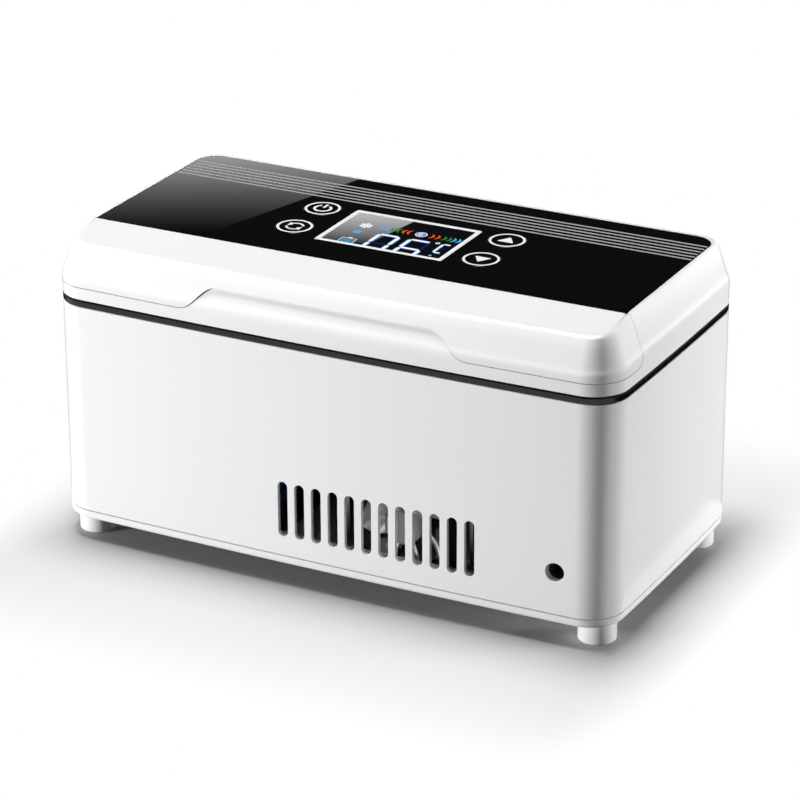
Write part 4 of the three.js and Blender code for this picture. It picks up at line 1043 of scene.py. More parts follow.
# %% Lid frame
KEY_PLACES = {"power": (-34.5, 13.2), "mode": (-34.5, -6.8),
              "up": (36.2, 13.2), "down": (36.2, -6.8)}
DISPLAY = {"x": 1, "y": 1.5, "half_width": 24, "half_depth": 16, "frame": 1.8}
DECK_TOP = LID_TOP - 2.2
DECK_BOTTOM = DECK_TOP - 1.6
LID_WALL_THICKNESS = 4
SEAT_ROOM = 0.2
BEYOND = 200
cap_room = carve(fascia_room(SEAM), lid_form(FASCIA["wall"] + 0.2))
notch = prism(notch_outline(), "y", -HALF_DEPTH - 3, PANEL["front"])
below_deck = slab((-BEYOND, BEYOND), (-BEYOND, BEYOND), (RIM_TOP - 3, DECK_BOTTOM))
panel_seat = prism(panel_plan(-SEAT_ROOM), "z", DECK_TOP, LID_TOP + 1)
frame_shape = carve(lid_form(), cap_room)
frame_shape = carve(frame_shape, carve(notch, lid_form(scoop=FASCIA["notch_depth"])))
frame_shape = carve(frame_shape, carve(lid_form(LID_WALL_THICKNESS), below_deck, "INTERSECT"))
frame_shape = carve(frame_shape, panel_seat)
LEAF_SCREWS = [share * HINGE["half"] for share in (-0.72, -0.3, 0.3, 0.72)]
screw_low, screw_high = box_of("hinge_screw_1")
LEAF_SCREW_Z = (screw_low.z + screw_high.z) / 2
SCREW_TIP = screw_low.y - MIDDLE_Y
LEAF_SCREW_HOLE = 1.3
KEY_WELL = 8.1


def display_window(grow, low, high):
    """A tool as large as the display's outside, grown by a gap."""
    x, y = DISPLAY["x"], DISPLAY["y"]
    half_x, half_y = DISPLAY["half_width"] + grow, DISPLAY["half_depth"] + grow
    return slab((x - half_x, x + half_x), (y - half_y, y + half_y), (low, high))


def key_wells(radius, low, high, steps=40):
    """A round tool at each key's place."""
    return [prism(round_outline(radius, x, y, steps), "z", low, high)
            for x, y in KEY_PLACES.values()]


openings = [display_window(-1.6, DECK_BOTTOM - 1, DECK_TOP + 1)]
openings += key_wells(KEY_WELL, DECK_BOTTOM - 1, DECK_TOP + 1)
openings += [prism(round_outline(LEAF_SCREW_HOLE, x, LEAF_SCREW_Z, 24), "y",
                   SCREW_TIP - 1, HALF_DEPTH + 2) for x in LEAF_SCREWS]
frame_shape = carve(frame_shape, merged(openings))
lid_frame = place("moulded_lid_frame", "lid", frame_shape, white_abs, ["lid_frame"])
print("lid frame faces:", len(lid_frame.data.polygons))

# %% [markdown]
# ## Lid liner
# Below, a liner closes the lid. Its plug dips into the chamber's mouth, which keeps warm air out
# better than a flat lid would. It is one sheet form: a flange, a step down, and a tray floor. Its
# rings follow the chamber inside and the case outside, so the step comes out even all round.

# %% Lid liner
lid_liner_low, lid_liner_high = box_of("lid_liner")
PLUG = {"gap": 1.2, "wall": 1.4}
FLANGE_LOW = lid_liner_high.z - PLUG["wall"]
inner_grow = -PLUG["gap"] - PLUG["wall"]
FLANGE_EDGE = 4.2
tray_inside = filleted([
    (-5, lid_liner_low.z + PLUG["wall"]), (inner_grow, lid_liner_low.z + PLUG["wall"]),
    (inner_grow, lid_liner_high.z)], 1, closed=False)
flange = filleted([
    (8, lid_liner_high.z), (FLANGE_EDGE, lid_liner_high.z), (FLANGE_EDGE, FLANGE_LOW),
    (8, FLANGE_LOW)], 0.4, closed=False)[1:-1]
plug_outside = filleted([
    (1, FLANGE_LOW), (-PLUG["gap"], FLANGE_LOW), (-PLUG["gap"], lid_liner_low.z),
    (-5, lid_liner_low.z)], 1, closed=False, steps=6)[1:]
liner_rings = rings_of(chamber_plan, tray_inside) + rings_of(case_plan, flange)
liner_rings += rings_of(chamber_plan, plug_outside)
lid_liner = place("moulded_lid_liner", "lid", skin(liner_rings), tray_plastic,
                  ["lid_liner"])
print("lid liner faces:", len(lid_liner.data.polygons))

# %% [markdown]
# ## Hinge leaf
# The lid's half of the hinge is a leaf along the rear wall. Its two long knuckles fill the gaps
# between the rim's, and four screws in sunken seats hold it. The same drill goes through all
# knuckles of both halves, so the pin's hole always lines up.

# %% Hinge leaf
LEAF = {"front": HALF_DEPTH + 0.2, "rear": HALF_DEPTH + 2.4, "low": HINGE["z"] + 3.4,
        "high": RIM_TOP + 8.5}
SCREW_SEAT = {"radius": 2.1, "depth": 1.4}


def leaf_outline(low, front):
    """The leaf's section, with softened outer edges."""
    return filleted([(front, low), (LEAF["rear"], low), (LEAF["rear"], LEAF["high"]),
                     (front, LEAF["high"])], 0.5)


leaf_shape = prism(leaf_outline(LEAF["low"], LEAF["front"]), "x", -HINGE["half"], HINGE["half"])
for span in LEAF_KNUCKLES:
    web = prism(leaf_outline(HINGE["z"], LEAF["front"] + 0.2), "x", *span)
    leaf_shape = carve(carve(leaf_shape, web, "UNION"), knuckle(span), "UNION")
for radius, low in ((LEAF_SCREW_HOLE, LEAF["front"] - 1),
                    (SCREW_SEAT["radius"], LEAF["rear"] - SCREW_SEAT["depth"])):
    leaf_shape = carve(leaf_shape, merged([
        prism(round_outline(radius, x, LEAF_SCREW_Z, 32), "y", low, LEAF["rear"] + 1)
        for x in LEAF_SCREWS]))
leaf = place("moulded_hinge_leaf", "lid", carve(leaf_shape, pin_bore()), black_abs,
             ["hinge_leaf"])
print("hinge leaf faces:", len(leaf.data.polygons))

# %% [markdown]
# ## Leaf screws
# A screw head is small, yet its cross recess is what tells the eye that it is a screw. The head is
# turned from a profile with a slight dome, and two thin slabs cut the cross.

# %% Leaf screws
SCREW = {"point": 0.5, "taper": 0.8, "shank": 1.1, "neck": 1.2}
# The head from its underside to its middle: radius, and depth below its highest point.
SCREW_HEAD = [(1.9, SCREW["neck"]), (1.9, 0.6), (1.7, 0.3), (1.2, 0.1), (0, 0)]
CROSS = {"half_length": 1.05, "half_width": 0.24, "depth": 0.8}
screw_profile = [(0, SCREW_TIP), (SCREW["point"], SCREW_TIP),
                 (SCREW["shank"], SCREW_TIP + SCREW["taper"]),
                 (SCREW["shank"], LEAF["rear"] - SCREW["neck"])]
screw_profile += [(radius, LEAF["rear"] - depth) for radius, depth in SCREW_HEAD]
for k, x in enumerate(LEAF_SCREWS):
    screw_shape = turned(screw_profile, x, LEAF_SCREW_Z, "y", 32)
    recess_span = (LEAF["rear"] - CROSS["depth"], LEAF["rear"] + 1)
    bar = (CROSS["half_length"], CROSS["half_width"])
    for half_x, half_z in (bar, bar[::-1]):
        screw_shape = carve(screw_shape, slab((x - half_x, x + half_x), recess_span,
                                              (LEAF_SCREW_Z - half_z, LEAF_SCREW_Z + half_z)))
    place(f"cross_head_screw_{k + 1}", "lid", screw_shape, zinc_steel,
          [f"hinge_screw_{k + 1}"])
print("leaf screws at x", [round(x, 1) for x in LEAF_SCREWS])

# %% [markdown]
# ## Control panel
# The panel is a sheet of black cast acrylic let into the lid. Cast acrylic is the flattest plastic
# there is, so it reflects almost like glass. Its side is hollowed a little below the top.
# A pure black with one roughness would look drawn, so a film of dust, in patches of about 25 mm,
# lifts the black and dulls the gloss by a hair.

# %% Black acrylic panel
DUST_PATCH = 25
black_acrylic, tree = new_finish("polished_black_cast_acrylic")
dust = grain(tree, DUST_PATCH, 3).outputs["Fac"]
dusty_black = add(tree, "Mix", {"Factor": dust, "A": linear("030304"), "B": linear("050506")},
                  data_type="RGBA")
finish_with(tree, {"Base Color": dusty_black.outputs["Result"], "IOR": 1.49,
                   "Roughness": blend_between(tree, dust, 0.006, 0.014)})

PANEL_TOP = LID_TOP - 0.06
PANEL_LOW = LID_TOP - 2
SIDE_HOLLOW = 0.35
EDGE_TURNS = [QUARTER * k / 4 for k in range(5)]
panel_side = [(0, PANEL_LOW)]
panel_side += [(SIDE_HOLLOW * math.sin(turn), PANEL_TOP - SIDE_HOLLOW * (1 - math.cos(turn)))
               for turn in EDGE_TURNS[::-1]]
panel_shape = ring_of(panel_plan, panel_side, closed=False)
KEY_HOLE = 7.15
PANEL_GAP = 0.15
panel_openings = key_wells(KEY_HOLE, PANEL_LOW - 1, LID_TOP + 1, 96)
panel_openings.append(display_window(PANEL_GAP, PANEL_LOW - 1, LID_TOP + 1))
panel_shape = carve(panel_shape, merged(panel_openings))
panel = place("acrylic_control_panel", "lid", panel_shape, black_acrylic,
              ["control_panel"])
print("panel top at z", round(PANEL_TOP, 2), "faces", len(panel.data.polygons))

# %% [markdown]
# ## Keys
# Each key is a disc of the same acrylic, level with the panel, on a wider flange that the panel
# holds down. When it is pressed it sinks by 0.6 mm, so it has to be a piece of its own with a fine
# gap round it, not a circle printed on the panel. Its rounded top edge catches a thin line of light.

# %% Keys
KEY = {"radius": 6.9, "flange": 7.7, "flange_low": PANEL_LOW - 1.1, "flange_top": PANEL_LOW - 0.2,
       "edge": 0.3}
key_edge = [(KEY["radius"] - KEY["edge"] * (1 - math.cos(turn)),
             PANEL_TOP - KEY["edge"] * (1 - math.sin(turn))) for turn in EDGE_TURNS]
key_profile = [(0, KEY["flange_low"]), (KEY["flange"], KEY["flange_low"]),
               (KEY["flange"], KEY["flange_top"]), (KEY["radius"], KEY["flange_top"]),
               *key_edge, (0, PANEL_TOP)]
for key, (x, y) in KEY_PLACES.items():
    place("acrylic_key_" + key, "key_" + key, turned(key_profile, x, y, steps=96), black_acrylic,
          ["key_" + key])
print("keys:", ", ".join(KEY_PLACES), "with a gap of", round(KEY_HOLE - KEY["radius"], 2), "mm")

# %% [markdown]
# ## Display frame
# A white moulded frame edges the display. It is the one light line on the black panel, so it is a
# real ring with rounded edges that throws a fine shadow, and its white is a little brighter.

# %% Display frame
frame_ring = filleted([(0, PANEL_LOW), (0, PANEL_TOP), (DISPLAY["frame"], PANEL_TOP),
                       (DISPLAY["frame"], PANEL_LOW)], 0.25)


def display_plan(inset):
    """The outline of the display, drawn in by inset."""
    x, y = DISPLAY["x"], DISPLAY["y"]
    plan = rounded_plan(DISPLAY["half_width"] - inset, -DISPLAY["half_depth"] + inset,
                        DISPLAY["half_depth"] - inset, max(1 - inset, 0.3), max(1 - inset, 0.3))
    return [(x + a, y + b) for a, b in plan]


place("moulded_display_frame", "lid", ring_of(display_plan, frame_ring), frame_abs,
      ["display_frame"])
print("display frame", 2 * DISPLAY["half_width"], "x", 2 * DISPLAY["half_depth"], "mm")

# %% [markdown]
# ## Display window
# The window is smoked acrylic over a liquid crystal cell. Its upper left carries a painted
# reflection:
# the window gives off grey light there, behind a clean slanted edge and brighter towards the rear and
# the left, and the rest stays black. The painted reflection is drawn in the display's own coordinates
# and stays where it is from any viewpoint.

# %% Smoked window and its painted reflection
# A painted reflection: the window's own light is grey at its upper left, behind a slanted edge.
PAINTED_REFLECTION = {"rear": 15.4, "front": -13.4, "edge_at_rear": -0.45, "edge_at_front": -4.6,
        "feather": 0.25, "half_width": 22, "side_gain": 0.12}
smoked_window, tree = new_finish("smoked_acrylic_window_painted_reflection")
spot = add(tree, "SeparateXYZ", {"Vector": add(tree, "TexCoord").outputs["Object"]}).outputs
front_y, rear_y = ((PAINTED_REFLECTION[side] + MIDDLE_Y) * MM for side in ("front", "rear"))
edge_x = add(tree, "MapRange", {"Value": spot["Y"], "From Min": front_y, "From Max": rear_y,
                                "To Min": PAINTED_REFLECTION["edge_at_front"] * MM,
                                "To Max": PAINTED_REFLECTION["edge_at_rear"] * MM})
past_edge = add(tree, "Math", {0: edge_x.outputs["Result"], 1: spot["X"]}, operation="SUBTRACT")
# The painted reflection shows left of the slanted edge, with a soft border.
painted_side = add(tree, "MapRange", {
    "Value": past_edge.outputs["Value"], "From Min": -PAINTED_REFLECTION["feather"] * MM,
    "From Max": PAINTED_REFLECTION["feather"] * MM})
# The painted reflection brightens towards the rear and towards the left.
up_the_reflection = add(tree, "MapRange", {"Value": spot["Y"], "From Min": front_y, "From Max": rear_y})
toward_left = add(tree, "MapRange", {
    "Value": spot["X"], "From Min": 0.0, "From Max": -PAINTED_REFLECTION["half_width"] * MM,
    "To Min": -PAINTED_REFLECTION["side_gain"], "To Max": PAINTED_REFLECTION["side_gain"]})
brightness = add(tree, "Math", {0: up_the_reflection.outputs["Result"], 1: toward_left.outputs["Result"]},
                 operation="ADD", use_clamp=True)
glow = add(tree, "Mix", {"Factor": brightness.outputs["Value"], "A": linear("1e1e20"),
                         "B": linear("b4b4b6")}, data_type="RGBA")
# Black outside the painted reflection; the window's own light carries the painted reflection.
painted_reflection = add(tree, "Mix", {"Factor": painted_side.outputs["Result"], "A": linear("020204"),
                         "B": glow.outputs["Result"]}, data_type="RGBA")
finish_with(tree, {"Base Color": linear("05060a"), "Roughness": 0.04, "IOR": 1.49,
                   "Emission Color": painted_reflection.outputs["Result"], "Emission Strength": 1.0})
WINDOW_TOP = PANEL_TOP - 0.1
window_shape = prism(display_plan(DISPLAY["frame"] + 0.1), "z", PANEL_LOW, WINDOW_TOP)
place("smoked_display_window", "lid", window_shape, smoked_window, ["display_glass"])
print("window top at z", round(WINDOW_TOP, 2))

# %% [markdown]
# ## Printed signs
# The stripes, the rings and the signs are screen printed: ink is pressed through a fine mesh and
# dries as a layer a few hundredths of a millimetre thick. So each print is a real thin ribbon on the
# acrylic. White ink is chalky. The stripes are a silver-grey ink, whose flakes give it a soft shine.

# %% Screen inks
# A printing mesh has about 0.1 mm between its threads. The flecks it leaves are drawn 0.5 mm wide.
MESH_FLECK = 0.5


def screen_ink(name, hex_colour, metallic, roughness):
    """A printed ink: thinner, darker flecks where the mesh's threads lay."""
    material, tree = new_finish(name)
    flecks = grain(tree, MESH_FLECK, 1).outputs["Fac"]
    tone = add(tree, "Mix", {"Factor": flecks, "A": linear(hex_colour),
                             "B": darker(hex_colour, 0.85)}, data_type="RGBA")
    gloss = blend_between(tree, flecks, roughness * 0.85, roughness * 1.15)
    finish_with(tree, {"Base Color": tone.outputs["Result"], "Roughness": gloss,
                       "Metallic": metallic, "IOR": 1.5})
    return material


white_ink = screen_ink("white_screen_ink", "fcfcfc", 0.0, 0.4)
silver_ink = screen_ink("silver_grey_screen_ink", "b4b5b7", 0.15, 0.45)
INK_TOP = PANEL_TOP + 0.03
INK_PLATE = 0.1
print("inks:", white_ink.name, silver_ink.name)

# %% [markdown]
# ## Printed lines
# A printed line is a path with a width. `stroke` sets two edges beside the path at every point and
# skins them into a thin ribbon, sunk into the panel by most of its thickness so that it never
# floats. The six stripes behind the display are such ribbons.

# %% Ribbons of ink
def stroke(path, width, closed=False, top=INK_TOP, thickness=INK_PLATE):
    """A thin line along a path of (x, y) points. The width is one number, or one for each point."""
    widths = width if isinstance(width, list) else [width] * len(path)
    rings = []
    for k, point in enumerate(path):
        before = path[k - 1] if closed or k > 0 else point
        after = path[(k + 1) % len(path)] if closed or k < len(path) - 1 else point
        along = (Vector(after) - Vector(before)).normalized()
        side = Vector((-along.y, along.x)) * widths[k] / 2
        edge_a, edge_b = Vector(point) + side, Vector(point) - side
        low = top - thickness
        rings.append([(*edge_a, low), (*edge_b, low), (*edge_b, top), (*edge_a, top)])
    return skin(rings, closed)


def plate(outline, top=INK_TOP, thickness=INK_PLATE):
    """A thin plate with its upper side at a height."""
    return prism(outline, "z", top - thickness, top)


def arc(x, y, radius, begin, end, steps=32):
    """Points on a circle from one angle to another, in degrees."""
    turns = [math.radians(begin + (end - begin) * k / steps) for k in range(steps + 1)]
    return [(x + radius * math.cos(turn), y + radius * math.sin(turn)) for turn in turns]


STRIPES = {"rear": 37.4, "pitch": 2.71, "count": 6, "width": 1.0,
           "half": PANEL["half_width"] - 0.4}
stripes = []
for k in range(STRIPES["count"]):
    y = STRIPES["rear"] - k * STRIPES["pitch"]
    stripes.append(stroke([(-STRIPES["half"], y), (STRIPES["half"], y)], STRIPES["width"]))
place("printed_stripes", "lid", merged(stripes), silver_ink)
print("stripes:", STRIPES["count"], "each", STRIPES["width"], "mm wide")

# %% [markdown]
# ## Key signs
# Each key has a ring and a sign inside it: power, an automatic cycle, up and down. They move with
# their key, so they ride on its body. The automatic sign is two arrows that chase each other, as on
# many appliances. Plain strokes draw them, since a font's letters would carry their own style.

# %% Key signs
RING = {"radius": 5.85, "width": 0.9}
SIGN_RADIUS = 2.9


def power_sign(x, y):
    """The usual open ring with a bar at its top."""
    open_ring = arc(x, y, SIGN_RADIUS, 90 + 32, 90 + 328)
    return [stroke(open_ring, 0.95), stroke([(x, y + 0.6), (x, y + 4.0)], 0.95)]


def cycle_sign(x, y):
    """Two curved arrows that chase each other."""
    parts = []
    for start in (20, 200):
        sweep = arc(x, y, SIGN_RADIUS, start, start + 115)
        tip = arc(x, y, SIGN_RADIUS, start + 115, start + 165, 1)[1]
        wing = [arc(x, y, radius, start + 115, start + 116, 1)[0] for radius in (4.1, 1.7)]
        parts += [stroke(sweep, 0.8), plate([wing[0], tip, wing[1]])]
    return parts


def arrow_sign(x, y, way):
    """A filled triangle that points to the rear (1) or to the front (-1)."""
    corners = [(x - 3.1, y - 1.9 * way), (x + 3.1, y - 1.9 * way), (x, y + 2.9 * way)]
    return [plate(filleted(corners, 0.35))]


SIGNS = {
    "power": power_sign, "mode": cycle_sign,
    "up": lambda x, y: arrow_sign(x, y, 1), "down": lambda x, y: arrow_sign(x, y, -1),
}
for key, (x, y) in KEY_PLACES.items():
    ring = stroke(round_outline(RING["radius"], x, y, 72), RING["width"], closed=True)
    place("printed_sign_" + key, "key_" + key, merged([ring, *SIGNS[key](x, y)]), white_ink)
print("signs:", ", ".join(KEY_PLACES))

# %% [markdown]
# ## Display content
# The display shows a temperature in large seven-segment numbers, a snowflake, a battery, and a row
# of crescents that stand for colder and warmer. A lit segment of a colour display glows evenly, with
# a softer coloured border, and segments that aren't lit stay deep blue. Each is a thin plate that
# gives its own light at a strength of 1, so it keeps its colour in any light. The backlight's lamps
# sit about 6 mm apart, which leaves the glow a little uneven.

# %% Lit segments
LAMP_SPACING = 6


def lit_segment(name, hex_colour, border_hex):
    """Light through a dyed filter. The backlight behind it is a little uneven."""
    material, tree = new_finish(name)
    backlight = grain(tree, LAMP_SPACING, 1).outputs["Fac"]
    tone = add(tree, "Mix", {"Factor": backlight, "A": linear(hex_colour), "B": linear(border_hex)},
               data_type="RGBA")
    finish_with(tree, {"Base Color": linear("050608"), "Roughness": 0.04, "IOR": 1.49,
                       "Emission Color": tone.outputs["Result"], "Emission Strength": 1.0})
    return material


SEGMENT_COLOURS = {
    "white": ("fbfdff", "eef5ff"), "halo": ("74aee6", "5c98d8"), "unlit": ("081a66", "061250"),
    "ice": ("58b8e8", "48a4dc"), "green": ("2f8f35", "277a2e"), "orange": ("f05c22", "dc4a18"),
    "blue": ("2f6fc8", "2560b4"),
}
lit = {colour: lit_segment("lit_" + colour + "_segment", *pair)
       for colour, pair in SEGMENT_COLOURS.items()}
GLYPH_TOP = WINDOW_TOP + 0.04
HALO_TOP = WINDOW_TOP + 0.02
GLYPH_PLATE = 0.03
content = {colour: [] for colour in SEGMENT_COLOURS}
print("segment colours:", ", ".join(content))

# %% [markdown]
# ## Large numbers
# A seven-segment number is up to seven pointed bars. The lower third of the numbers lies under the
# display's frame, so the bars that run down end square there. A wider plate below each white bar is
# its coloured border. A generic temperature, 06 with the sign for degrees Celsius, fills the place.

# %% Large numbers
CUT = -12.6
BAR_HALF = 0.58
HALO_HALF = 0.92


def segment(begin, end, half, top, square_end=False):
    """One bar with pointed ends, as in a seven-segment number. A square end is cut by the frame."""
    begin, end = Vector(begin), Vector(end)
    along = (end - begin).normalized()
    side = Vector((-along.y, along.x)) * half
    begin += along * 0.1
    shoulder = end - along * (half + 0.1)
    far = [shoulder - side, end - along * 0.1, shoulder + side]
    if square_end:
        far = [end - side, end + side]
    outline = [begin, begin + along * half - side, *far, begin + along * half + side]
    return plate([tuple(point) for point in outline], top, GLYPH_PLATE)


def glowing(begin, end, colour="white", square_end=False):
    """A bar of one colour, with its border where it is lit."""
    if colour == "white":
        content["halo"].append(segment(begin, end, HALO_HALF, HALO_TOP, square_end))
    content[colour].append(segment(begin, end, BAR_HALF, GLYPH_TOP, square_end))


def number(west, east, top, middle, unlit):
    """The part of a seven-segment number that shows above the display's front edge."""
    bars = {
        "top": ((west, top), (east, top)), "upper_left": ((west, middle), (west, top)),
        "upper_right": ((east, middle), (east, top)), "middle": ((west, middle), (east, middle)),
        "lower_left": ((west, middle), (west, CUT)), "lower_right": ((east, middle), (east, CUT)),
    }
    for name, (begin, end) in bars.items():
        glowing(begin, end, "unlit" if name == unlit else "white", name.startswith("lower"))


number(-4.9, 2.4, -0.5, -8.7, "middle")
number(6.7, 14.1, -0.4, -8.6, "upper_right")
LETTER_C = [((18.8, 0.2), (21.6, 0.2)), ((18.8, -8.0), (18.8, 0.2)), ((18.8, -8.0), (21.6, -8.0))]
for begin, end in LETTER_C:
    content["halo"].append(segment(begin, end, 0.62, HALO_TOP))
    content["white"].append(segment(begin, end, 0.38, GLYPH_TOP))
content["unlit"].append(segment((18.9, -3.9), (21.4, -3.9), 0.4, GLYPH_TOP))
content["white"].append(stroke(round_outline(0.62, 16.5, 0.3, 24), 0.36, closed=True,
                               top=GLYPH_TOP, thickness=GLYPH_PLATE))
content["ice"].append(plate(round_outline(0.6, 19.4, -11.3, 24), GLYPH_TOP, GLYPH_PLATE))
print("number bars:", len(content["white"]), "lit,", len(content["unlit"]), "unlit")

# %% [markdown]
# ## Small signs
# The small signs use the same ribbons as the print. A crescent is a bent path that is thick in the
# middle, a snowflake is six arms with a fork each, and the battery is an open frame with three bars.
# All pieces of one colour become one mesh, which keeps the list of pieces short.

# %% Small signs
SIGN_ROW = 5.3
CRESCENT = {"bulge": 0.95, "half_height": 1.9, "tip": 0.14, "swell": 0.75}


def glyph_line(colour, path, width, top=GLYPH_TOP, closed=False):
    """A thin line of light."""
    content[colour].append(stroke(path, width, closed, top, GLYPH_PLATE))


def crescent(colour, x, bulge):
    """A bracket that is thick in the middle and thin at its ends."""
    shares = [k / 6 - 1 for k in range(13)]
    path = [(x + bulge * (1 - share ** 2), SIGN_ROW + CRESCENT["half_height"] * share)
            for share in shares]
    widths = [CRESCENT["tip"] + CRESCENT["swell"] * (1 - share ** 2) for share in shares]
    glyph_line(colour, path, widths)


def snowflake(colour, x, y, radius, width):
    """Three bars through the middle make six arms, each with two twigs halfway out."""
    centre = Vector((x, y))
    for k in range(6):
        turn = math.radians(60 * k + 30)
        way = Vector((math.cos(turn), math.sin(turn)))
        if k < 3:
            glyph_line(colour, [tuple(centre - way * radius), tuple(centre + way * radius)], width)
        for lean in (-50, 50):
            twig = Matrix.Rotation(math.radians(lean), 2) @ way
            fork = centre + way * radius * 0.5
            glyph_line(colour, [tuple(fork), tuple(fork + twig * radius * 0.42)], width * 0.8)


COLDER = {-6.5: "ice", -4.5: "ice", -2.3: "green", -0.2: "green", 1.9: "orange", 3.8: "orange"}
WARMER = {11.3: "orange", 13.5: "orange", 15.9: "green", 17.8: "green", 19.5: "ice", 21.3: "ice"}
for bulge, row in ((-CRESCENT["bulge"], COLDER), (CRESCENT["bulge"], WARMER)):
    for x, colour in row.items():
        crescent(colour, x, bulge)
snowflake("white", -13.1, 4.8, 2.4, 0.5)
snowflake("ice", -13.0, -1.9, 1.6, 0.4)
EMBLEM = (7.75, SIGN_ROW)
glyph_line("white", round_outline(1.95, *EMBLEM, 40), 0.4, closed=True)
content["blue"].append(plate(round_outline(1.75, *EMBLEM, 40), HALO_TOP, GLYPH_PLATE))
glyph_line("white", arc(*EMBLEM, 0.95, 40, 320), 0.4)
glyph_line("white", [(EMBLEM[0] - 0.55, SIGN_ROW), (EMBLEM[0] + 0.55, SIGN_ROW)], 0.4)
BATTERY = {"left": -14.9, "right": -9.6, "top": -8.6, "margin": 0.7, "bars": (-9.8, -10.9, -12.0)}
corners = [(BATTERY["left"], CUT), (BATTERY["left"], BATTERY["top"]),
           (BATTERY["right"], BATTERY["top"]), (BATTERY["right"], CUT)]
for begin, end in zip(corners, corners[1:]):
    glyph_line("ice", [begin, end], 0.4, HALO_TOP)
    glyph_line("white", [begin, end], 0.2)
glyph_line("white", [(-13.0, BATTERY["top"] + 0.5), (-11.5, BATTERY["top"] + 0.5)], 0.7)
for y in BATTERY["bars"]:
    glyph_line("ice", [(BATTERY["left"] + BATTERY["margin"], y),
                       (BATTERY["right"] - BATTERY["margin"], y)], 0.5)
for colour, shapes in content.items():
    place("display_" + colour + "_segments", "lid", merged(shapes), lit[colour])
print("small signs done, colours:", ", ".join(content))

# %% [markdown]
# ## Finishes of the solids that stay
# The pieces deep inside keep their CAD solids, since their shapes are right. Each only gets the
# finish of its real material.

# %% Finishes for the kept solids
KEPT = {
    zinc_steel: ["hinge_pin", "keeper_left", "keeper_right",
                 *("base_screw_" + corner for corner in FEET)],
    nickel_magnet: ["magnet_left", "magnet_right"],
    extruded_aluminium: ["heat_sink"],
    milled_aluminium: ["cold_block"],
    foam: ["body_insulation", "lid_insulation"],
    alumina: ["thermoelectric_module"],
    board_green: ["main_board", "lid_board"],
    sleeve: ["battery_cell_1", "battery_cell_2"],
    dark_pbt: ["temperature_sensor", "fan_frame", "power_socket", "battery_holder",
               "display_module", *("switch_" + key for key in KEY_PLACES)],
}
for finish, names in KEPT.items():
    for name in names:
        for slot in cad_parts[name].material_slots:
            slot.material = finish
print("kept solids with a finish:", sum(len(names) for names in KEPT.values()))

# %% [markdown]
# ## Studio
# The product stands on a white sweep. Near the case the floor shows real shade, and further out it
# fades to pure white, as an over-lit sweep would leave it. More light would give the same white, but
# it would also wash out the case. So the floor's paint changes with the kind of ray: what the viewer
# sees fades to a glow of strength 1, and what only bounces meets a plain grey paint.

# %% Floor
FLOOR_HALF = 6
WHITE_BY = 0.08
SIDE_SQUEEZE = 3


def corners_of(x_span, y_span, z):
    """The four corners of a level rectangle."""
    (x_low, x_high), (y_low, y_high) = x_span, y_span
    return [(x_low, y_low, z), (x_high, y_low, z), (x_high, y_high, z), (x_low, y_high, z)]


def sheet(name, points, paper):
    """A flat part of the stage, one face for every four points, in metres."""
    mesh = bpy.data.meshes.new(name)
    mesh.from_pydata(points, [], [tuple(range(k, k + 4)) for k in range(0, len(points), 4)])
    mesh.materials.append(paper)
    thing = add_object(name, mesh)
    thing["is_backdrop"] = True
    return thing


floor_paint, tree = new_finish("white_studio_paint")
rays = add(tree, "LightPath").outputs
direct = add(tree, "Math", {0: rays["Is Camera Ray"], 1: rays["Is Glossy Ray"]},
             operation="MAXIMUM").outputs["Value"]
seen = add(tree, "Math", {0: direct, 1: rays["Is Transmission Ray"]},
           operation="MAXIMUM").outputs["Value"]
paint = add(tree, "Mix", {"Factor": seen, "A": linear("6c6c6c"), "B": linear("d2d2d2")},
            data_type="RGBA")
matt = add(tree, "BsdfDiffuse", {"Color": paint.outputs["Result"]})
bright = add(tree, "Emission", {"Color": linear("ffffff"), "Strength": 1.0})
position = add(tree, "NewGeometry").outputs["Position"]
from_middle = add(tree, "VectorMath", {0: position}, operation="ABSOLUTE")
beyond = add(tree, "VectorMath", {0: from_middle.outputs["Vector"],
                                  1: (HALF_WIDTH * MM, HALF_DEPTH * MM, 0)}, operation="SUBTRACT")
outside = add(tree, "VectorMath", {0: beyond.outputs["Vector"], 1: (0, 0, 0)}, operation="MAXIMUM")
squeezed = add(tree, "VectorMath", {0: outside.outputs["Vector"], 1: (SIDE_SQUEEZE, 1, 0)},
               operation="MULTIPLY")
gap = add(tree, "VectorMath", {0: squeezed.outputs["Vector"]}, operation="LENGTH")
fade = add(tree, "MapRange",
           {"Value": gap.outputs["Value"], "From Min": 0.0, "From Max": WHITE_BY})
share = add(tree, "Math", {0: fade.outputs["Result"], 1: seen}, operation="MULTIPLY")
mixed = add(tree, "MixShader", {0: share.outputs["Value"], 1: matt.outputs["BSDF"],
                                2: bright.outputs["Emission"]})
add(tree, "OutputMaterial", {"Surface": mixed.outputs["Shader"]})
sheet("studio_floor", corners_of((-FLOOR_HALF, FLOOR_HALF), (-FLOOR_HALF, FLOOR_HALF), 0),
      floor_paint)
print("floor turns white", WHITE_BY, "m from the case")

# %% [markdown]
# ## World
# The camera sees the world as plain white. Gloss sees the white sweep too, but only near the
# horizon: the studio's ceiling is dark, which is what makes the black panel look black from above.
# Bounced light gets almost nothing from the world, since the softboxes do that work.

